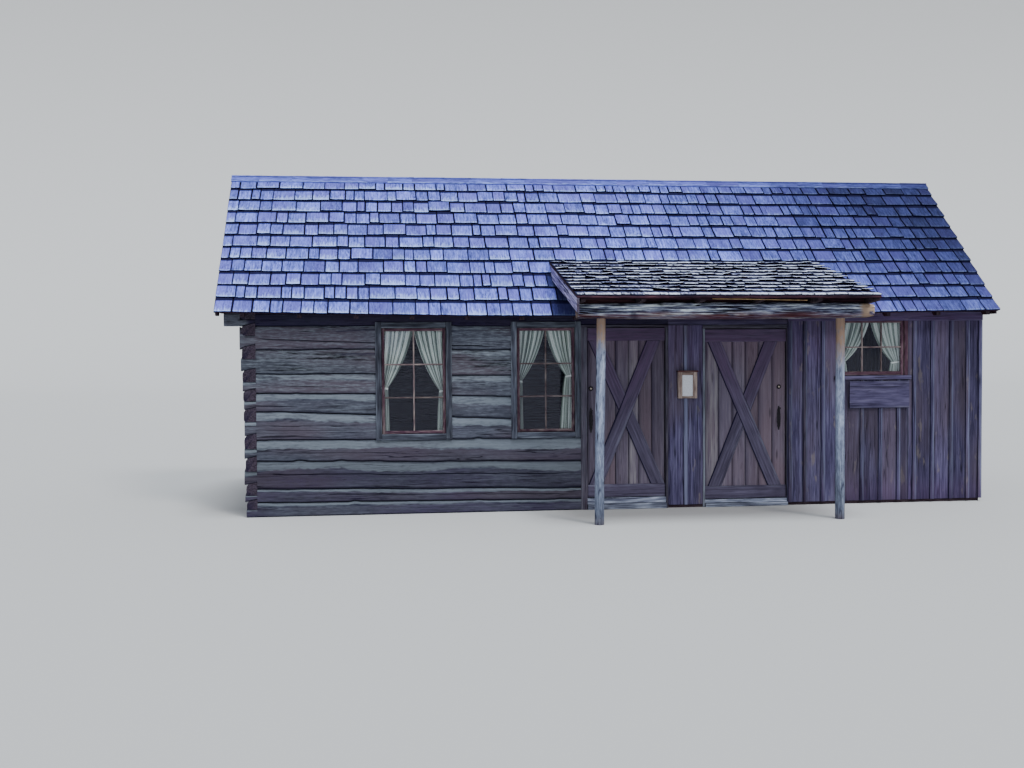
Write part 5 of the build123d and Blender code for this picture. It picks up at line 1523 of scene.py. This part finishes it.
DECK_EDGES = [0.0, 0.19, 0.37, 0.58, 0.77, 0.99, 1.2, 1.4, 1.62, 1.85, 2.1]
# Of each lath under the eave: its ends in x, then its foot's height at both
LATHS = (3.68, 5.09, 2.4345, 2.4335), (5.104, 6.158, 2.4335, 2.4165)


def yellow_lath(mark, u, z):
    mark[..., PALE] = 0.55 + 0.5 * noise(u / 0.12, 3.5, 70)


def build_porch_deck():
    """Sheathing boards, blocks between the rafters, and two laths along the eave."""
    unworn = even(pale=0.0)
    heap = Heap()
    for k, (a, b) in enumerate(pairs(DECK_EDGES)):
        far = min(b - 0.004, porch_limit(-CLEAR))
        if far - a < 0.03:
            continue
        cuts = [PORCH_X[0] + 0.002, 5.35 if k else 4.62, PORCH_X[1] - 0.002]
        for j, (x0, x1) in enumerate(pairs(cuts)):
            plank(heap, porch_point(x0, a, -PORCH_DECK), RIGHT, PORCH_UP, PORCH_OUT,
                  (x1 - x0, far - a, 0.0195), 2700 + 2 * k + j, step=0.2, bow=0.0, paint=unworn)
    lo, hi = box_of("porch_rafters")
    wide, bays = RAFTER_WIDE, 5
    first, last = lo[0] + wide / 2, hi[0] - wide / 2
    for k in range(bays):
        left, right = (first + (last - first) * (k + j) / bays for j in (0, 1))
        level(heap, (left + wide / 2 + JOINT, BLOCK_BACK, BLOCK_FOOT), right - left - wide - 2 * JOINT, 0.118,
              0.022, 2740 + k, step=0.2, bow=0.0, paint=unworn, tone=0.2)
    heap.build("porch_deck_boards", "house", "roof_timber", ROOF_TIMBER, "porch_deck")
    heap = Heap()
    for k, ((x0, x1, z0, z1), paint) in enumerate(zip(LATHS, (unworn, yellow_lath))):
        tilt = np.array([x1 - x0, 0, z1 - z0])
        plank(heap, (x0, lo[1] - CLEAR, z0), tilt / np.linalg.norm(tilt), UP, -BACK, (x1 - x0, 0.011, 0.012),
              2760 + k, step=0.08, wander=0.002, edge=0.002, tone=1.0, paint=paint)
    heap.build("porch_eave_laths", "house", "roof_timber", ROOF_TIMBER)


def build_porch_side():
    """Plank along the porch roof's left side, cut to the slope of the house's roof."""
    heap = Heap()
    deep = 0.146
    drop = deep / math.cos(PORCH_PITCH)
    share = np.array([0, 0, 0.03, 0.5, 0.97, 1, 1])[None]
    thick = np.array([0, 0.024, 0.028, 0.028, 0.028, 0.024, 0])[None]
    slopes = math.tan(PITCH) - math.tan(PORCH_PITCH)
    reach = porch_limit(-PORCH_DECK) - (share * drop) / slopes / math.cos(PORCH_PITCH)
    v = np.linspace(0, 1, 14)[:, None] * reach
    y = PORCH_EAVE_Y + v * math.cos(PORCH_PITCH) + 0.005
    z = PORCH_EAVE_Z - PORCH_DECK / math.cos(PORCH_PITCH) + v * math.sin(PORCH_PITCH) - share * drop
    ring = stack(PORCH_X[0] + 0.028 - thick, y, z)
    heap.sweep(ring, stack(v, share * deep, thick) + 11.0, blank_mark(ring.shape[:2]))
    heap.build("porch_side_plank", "house", "casing_wood", PLANK, "porch_side_board")


# Door furniture, leaflet box and sign board

BOLT = ((0.027, -0.001), (0.027, 0.003), (0.025, 0.008), (0.02, 0.0125), (0.0125, 0.0135), (0.0112, 0.011),
        (0.0112, 0.004))
THUMB = (0.004, -0.034), (0.004, -0.004), (0.013, -0.002), (0.015, 0.001), (0.012, 0.0035), (0.004, 0.004)
CYLINDER = (0.0108, 0.001), (0.0108, 0.0105), (0.0094, 0.0122), (0.002, 0.0127)
BOLT_Z, PULL_FOOT, PULL_HEAD = 1.44, 0.915, 1.205
LEAFLET_X, LEAFLET_Z, LEAFLET_WIDE, LEAFLET_TALL = 5.16, 1.342, 0.128, 0.25


def lathe(heap, at, profile, seed, sides=24):
    """Turned piece whose axis points out of the wall: profile is (radius, depth in front of the point)."""
    a = np.linspace(0, 2 * math.pi, sides + 1)[:-1][None]
    radius, out = (np.array(c)[:, None] for c in zip(*profile))
    ring = stack(at[0] + radius * np.cos(a), at[1] - out, at[2] + radius * np.sin(a))
    heap.sweep(ring, ring - at + seed, blank_mark(ring.shape[:2]))


def build_latches():
    """Deadbolt with its ring and bright cylinder, and a forged pull with a thumb piece, on each door."""
    face = LEAF_FACE + BRACE_DEEP
    share = np.linspace(0, 1, 33)[:, None]
    wide = 0.004 + 0.017 * np.sin(math.pi * share) ** 0.7 + 0.004 * np.cos(6 * math.pi * share) ** 2
    across = np.array([-1, -0.8, 0, 0.8, 1, 0.8, 0, -0.8])[None]
    deep = np.array([0.0, 0.0028, 0.0034, 0.0028, 0.0, -0.0008, -0.0008, -0.0008])[None]
    turn = np.linspace(0, math.pi, 25)
    for name in ("left_door", "right_door"):
        lo, hi = box_of(f"{name}_latch")
        x = (lo[0] + hi[0]) / 2
        heap = Heap()
        lathe(heap, (x, face, BOLT_Z), BOLT, 3.0)
        ring = stack(x + wide * across, face - deep, PULL_FOOT + (PULL_HEAD - PULL_FOOT) * share)
        heap.sweep(ring, ring, blank_mark(ring.shape[:2]))
        path = stack(x, face - 0.003 - 0.038 * np.sin(turn) ** 0.75,
                     (PULL_FOOT + PULL_HEAD) / 2 - 0.098 * np.cos(turn))
        round_log(heap, path, 0.0062 + 0.0022 * np.sin(turn) ** 2, 3100, sides=14, rough=0.0003)
        lathe(heap, (x, face - 0.034, PULL_HEAD - 0.028), THUMB, 5.0, sides=18)
        heap.build(f"{name}_latch_iron", name, "dark_iron", IRON, f"{name}_latch", sharp=50)
        heap = Heap()
        lathe(heap, (x, face, BOLT_Z), CYLINDER, 7.0, sides=20)
        heap.build(f"{name}_lock_cylinder", name, "dark_iron", BRASS, sharp=40)


def sign_edge(mark, u, z):
    """Darker wood along the foot and the head of the board."""
    for columns, share in ((slice(2), 0.6), (slice(-2, None), 0.5), (2, 0.3)):
        mark[:, columns, DARK] = share


def build_box_and_sign():
    """Box with an open front that shows a sheet of paper, its lid board, and the sign under the window."""
    lo, hi = box_of("leaflet_box")
    wall, back, lid = 0.012, -0.02, 0.022
    front = -0.082 + wall
    x0, x1, z0, z1 = lo[0] + 0.009, hi[0] - 0.009, lo[2], hi[2] - lid
    left, right, slot_head = 0.05, 0.055, 1.59
    heap = Heap()
    upright(heap, (x0, back, z0), x1 - x0, z1 - z0, 0.05, 2800, tone=0.5, edge=0.002)
    for k, (x, wide) in enumerate(((x0, left), (x1 - right, right))):
        upright(heap, (x, front, z0), wide, z1 - z0, wall, 2810 + k, tone=0.8, edge=0.003)
    for k, (z, tall) in enumerate(((z0, 0.03), (slot_head, z1 - slot_head))):
        level(heap, (x0 + left, front, z), x1 - x0 - left - right, tall, wall - 0.001, 2820 + k, tone=0.8,
              edge=0.003)
    level(heap, (lo[0], back, z1), hi[0] - lo[0], lid, back - lo[1], 2830, paint=even(red=1.0), tone=0.3,
          edge=0.004)
    heap.build("leaflet_holder", "house", "box_wood", BOX, "leaflet_box")
    sheet = Heap()
    upright(sheet, (LEAFLET_X, front + 0.002, LEAFLET_Z), LEAFLET_WIDE, LEAFLET_TALL, 0.003, 2840, wander=0.0,
            bow=0.0, rough=0.0, edge=0.0005)
    sheet.build("blank_leaflet", "house", "box_wood", paper("paper"))
    heap = Heap()
    lo, hi = box_of("sign_board")
    level(heap, (lo[0], back, lo[2]), hi[0] - lo[0], hi[2] - lo[2], back - lo[1], 2850, edge=0.009, tone=0.55,
          rows=7, paint=sign_edge)
    heap.build("sign_planks", "house", "sign_wood", SIGN, "sign_board")


def build_floor():
    heap = Heap()
    lo, hi = box_of("floor_boards")
    count = 20
    pitch = (hi[1] - lo[1]) / count
    for k in range(count):
        plank(heap, (lo[0], lo[1] + k * pitch + JOINT, lo[2]), RIGHT, BACK, UP,
              (hi[0] - lo[0], pitch - 2 * JOINT, hi[2] - lo[2]), 2900 + k, step=0.5, edge=0.002, rows=1)
    heap.build("floor_planks", "house", "floor_wood", FLOOR, "floor_boards")


def paint_cad_nodes():
    """Materials for the CAD nodes that are shown as they are."""
    for look, nodes in (
            (PLATE_TIMBER, ("wall_plates", "sill_beams", "headers", "end_beams", "floor_sleepers",
                            "ridge_board", "porch_rafters")),
            (FRAME_TIMBER, ("posts",)), (CHINK, ("chinking",)), (GLASS, ("window_glass",)),
            (IRON, ("curtain_rods", "left_door_hinges", "right_door_hinges"))):
        for node in nodes:
            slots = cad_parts[node].material_slots
            for slot in slots:
                slot.material = look
            if not slots:
                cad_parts[node].data.materials.append(look)


def build_stage():
    """Pale floor that curves up into a backdrop, with soft light from above and in front."""
    near, far, rise, radius, wide = -400.0, 40.0, 45.0, 30.0, 400.0
    turn = np.linspace(0, math.pi / 2, 24)
    y = np.concatenate([[near], far + radius * np.sin(turn), [far + radius]])
    z = np.concatenate([[0.0], radius * (1 - np.cos(turn)), [rise]]) - 0.001
    co = stack(np.array([-wide, wide])[None], y[:, None], z[:, None]).reshape(-1, 3)
    mesh = bpy.data.meshes.new("studio_floor")
    mesh.from_pydata(co.tolist(), [], [(2 * k, 2 * k + 1, 2 * k + 3, 2 * k + 2) for k in range(len(y) - 1)])
    mesh.shade_smooth()
    floor = add_object("studio_floor", mesh)
    s = Shader("studio_floor")
    mesh.materials.append(s.finish(s.surface((0.52, 0.52, 0.515), 0.95)))
    world = bpy.data.worlds.new("studio")
    bpy.context.scene.world = world
    world.use_nodes = True
    back = world.node_tree.nodes["Background"]
    back.inputs[0].default_value = (0.84, 0.9, 1.0, 1)
    back.inputs[1].default_value = 0.62
    for name, heading, height, angle, power, colour in (
            ("key", 30, 42, 14, 1.35, (1.0, 0.98, 0.96)), ("fill", -22, 9, 50, 0.88, (0.9, 0.94, 1.0)),
            ("top", 15, 76, 20, 2.7, (0.88, 0.94, 1.0))):
        data = bpy.data.lights.new(name, "SUN")
        data.angle, data.energy, data.color = math.radians(angle), power, colour
        a, b = math.radians(heading), math.radians(height)
        source = Vector((math.sin(a) * math.cos(b), -math.cos(a) * math.cos(b), math.sin(b)))
        lamp = add_object(name, data)
        lamp.rotation_mode = "QUATERNION"
        lamp.rotation_quaternion = source.to_track_quat("Z", "Y")


for build in (build_stage, build_front_logs, build_back_logs, build_left_logs, build_shakes, build_ridge,
              build_roof_timbers, build_front_boards, build_other_boards, build_windows, build_curtains,
              build_doors, build_door_frames, build_posts, build_beam, build_porch_roof, build_porch_side,
              build_latches, build_box_and_sign, build_floor, paint_cad_nodes):
    build()
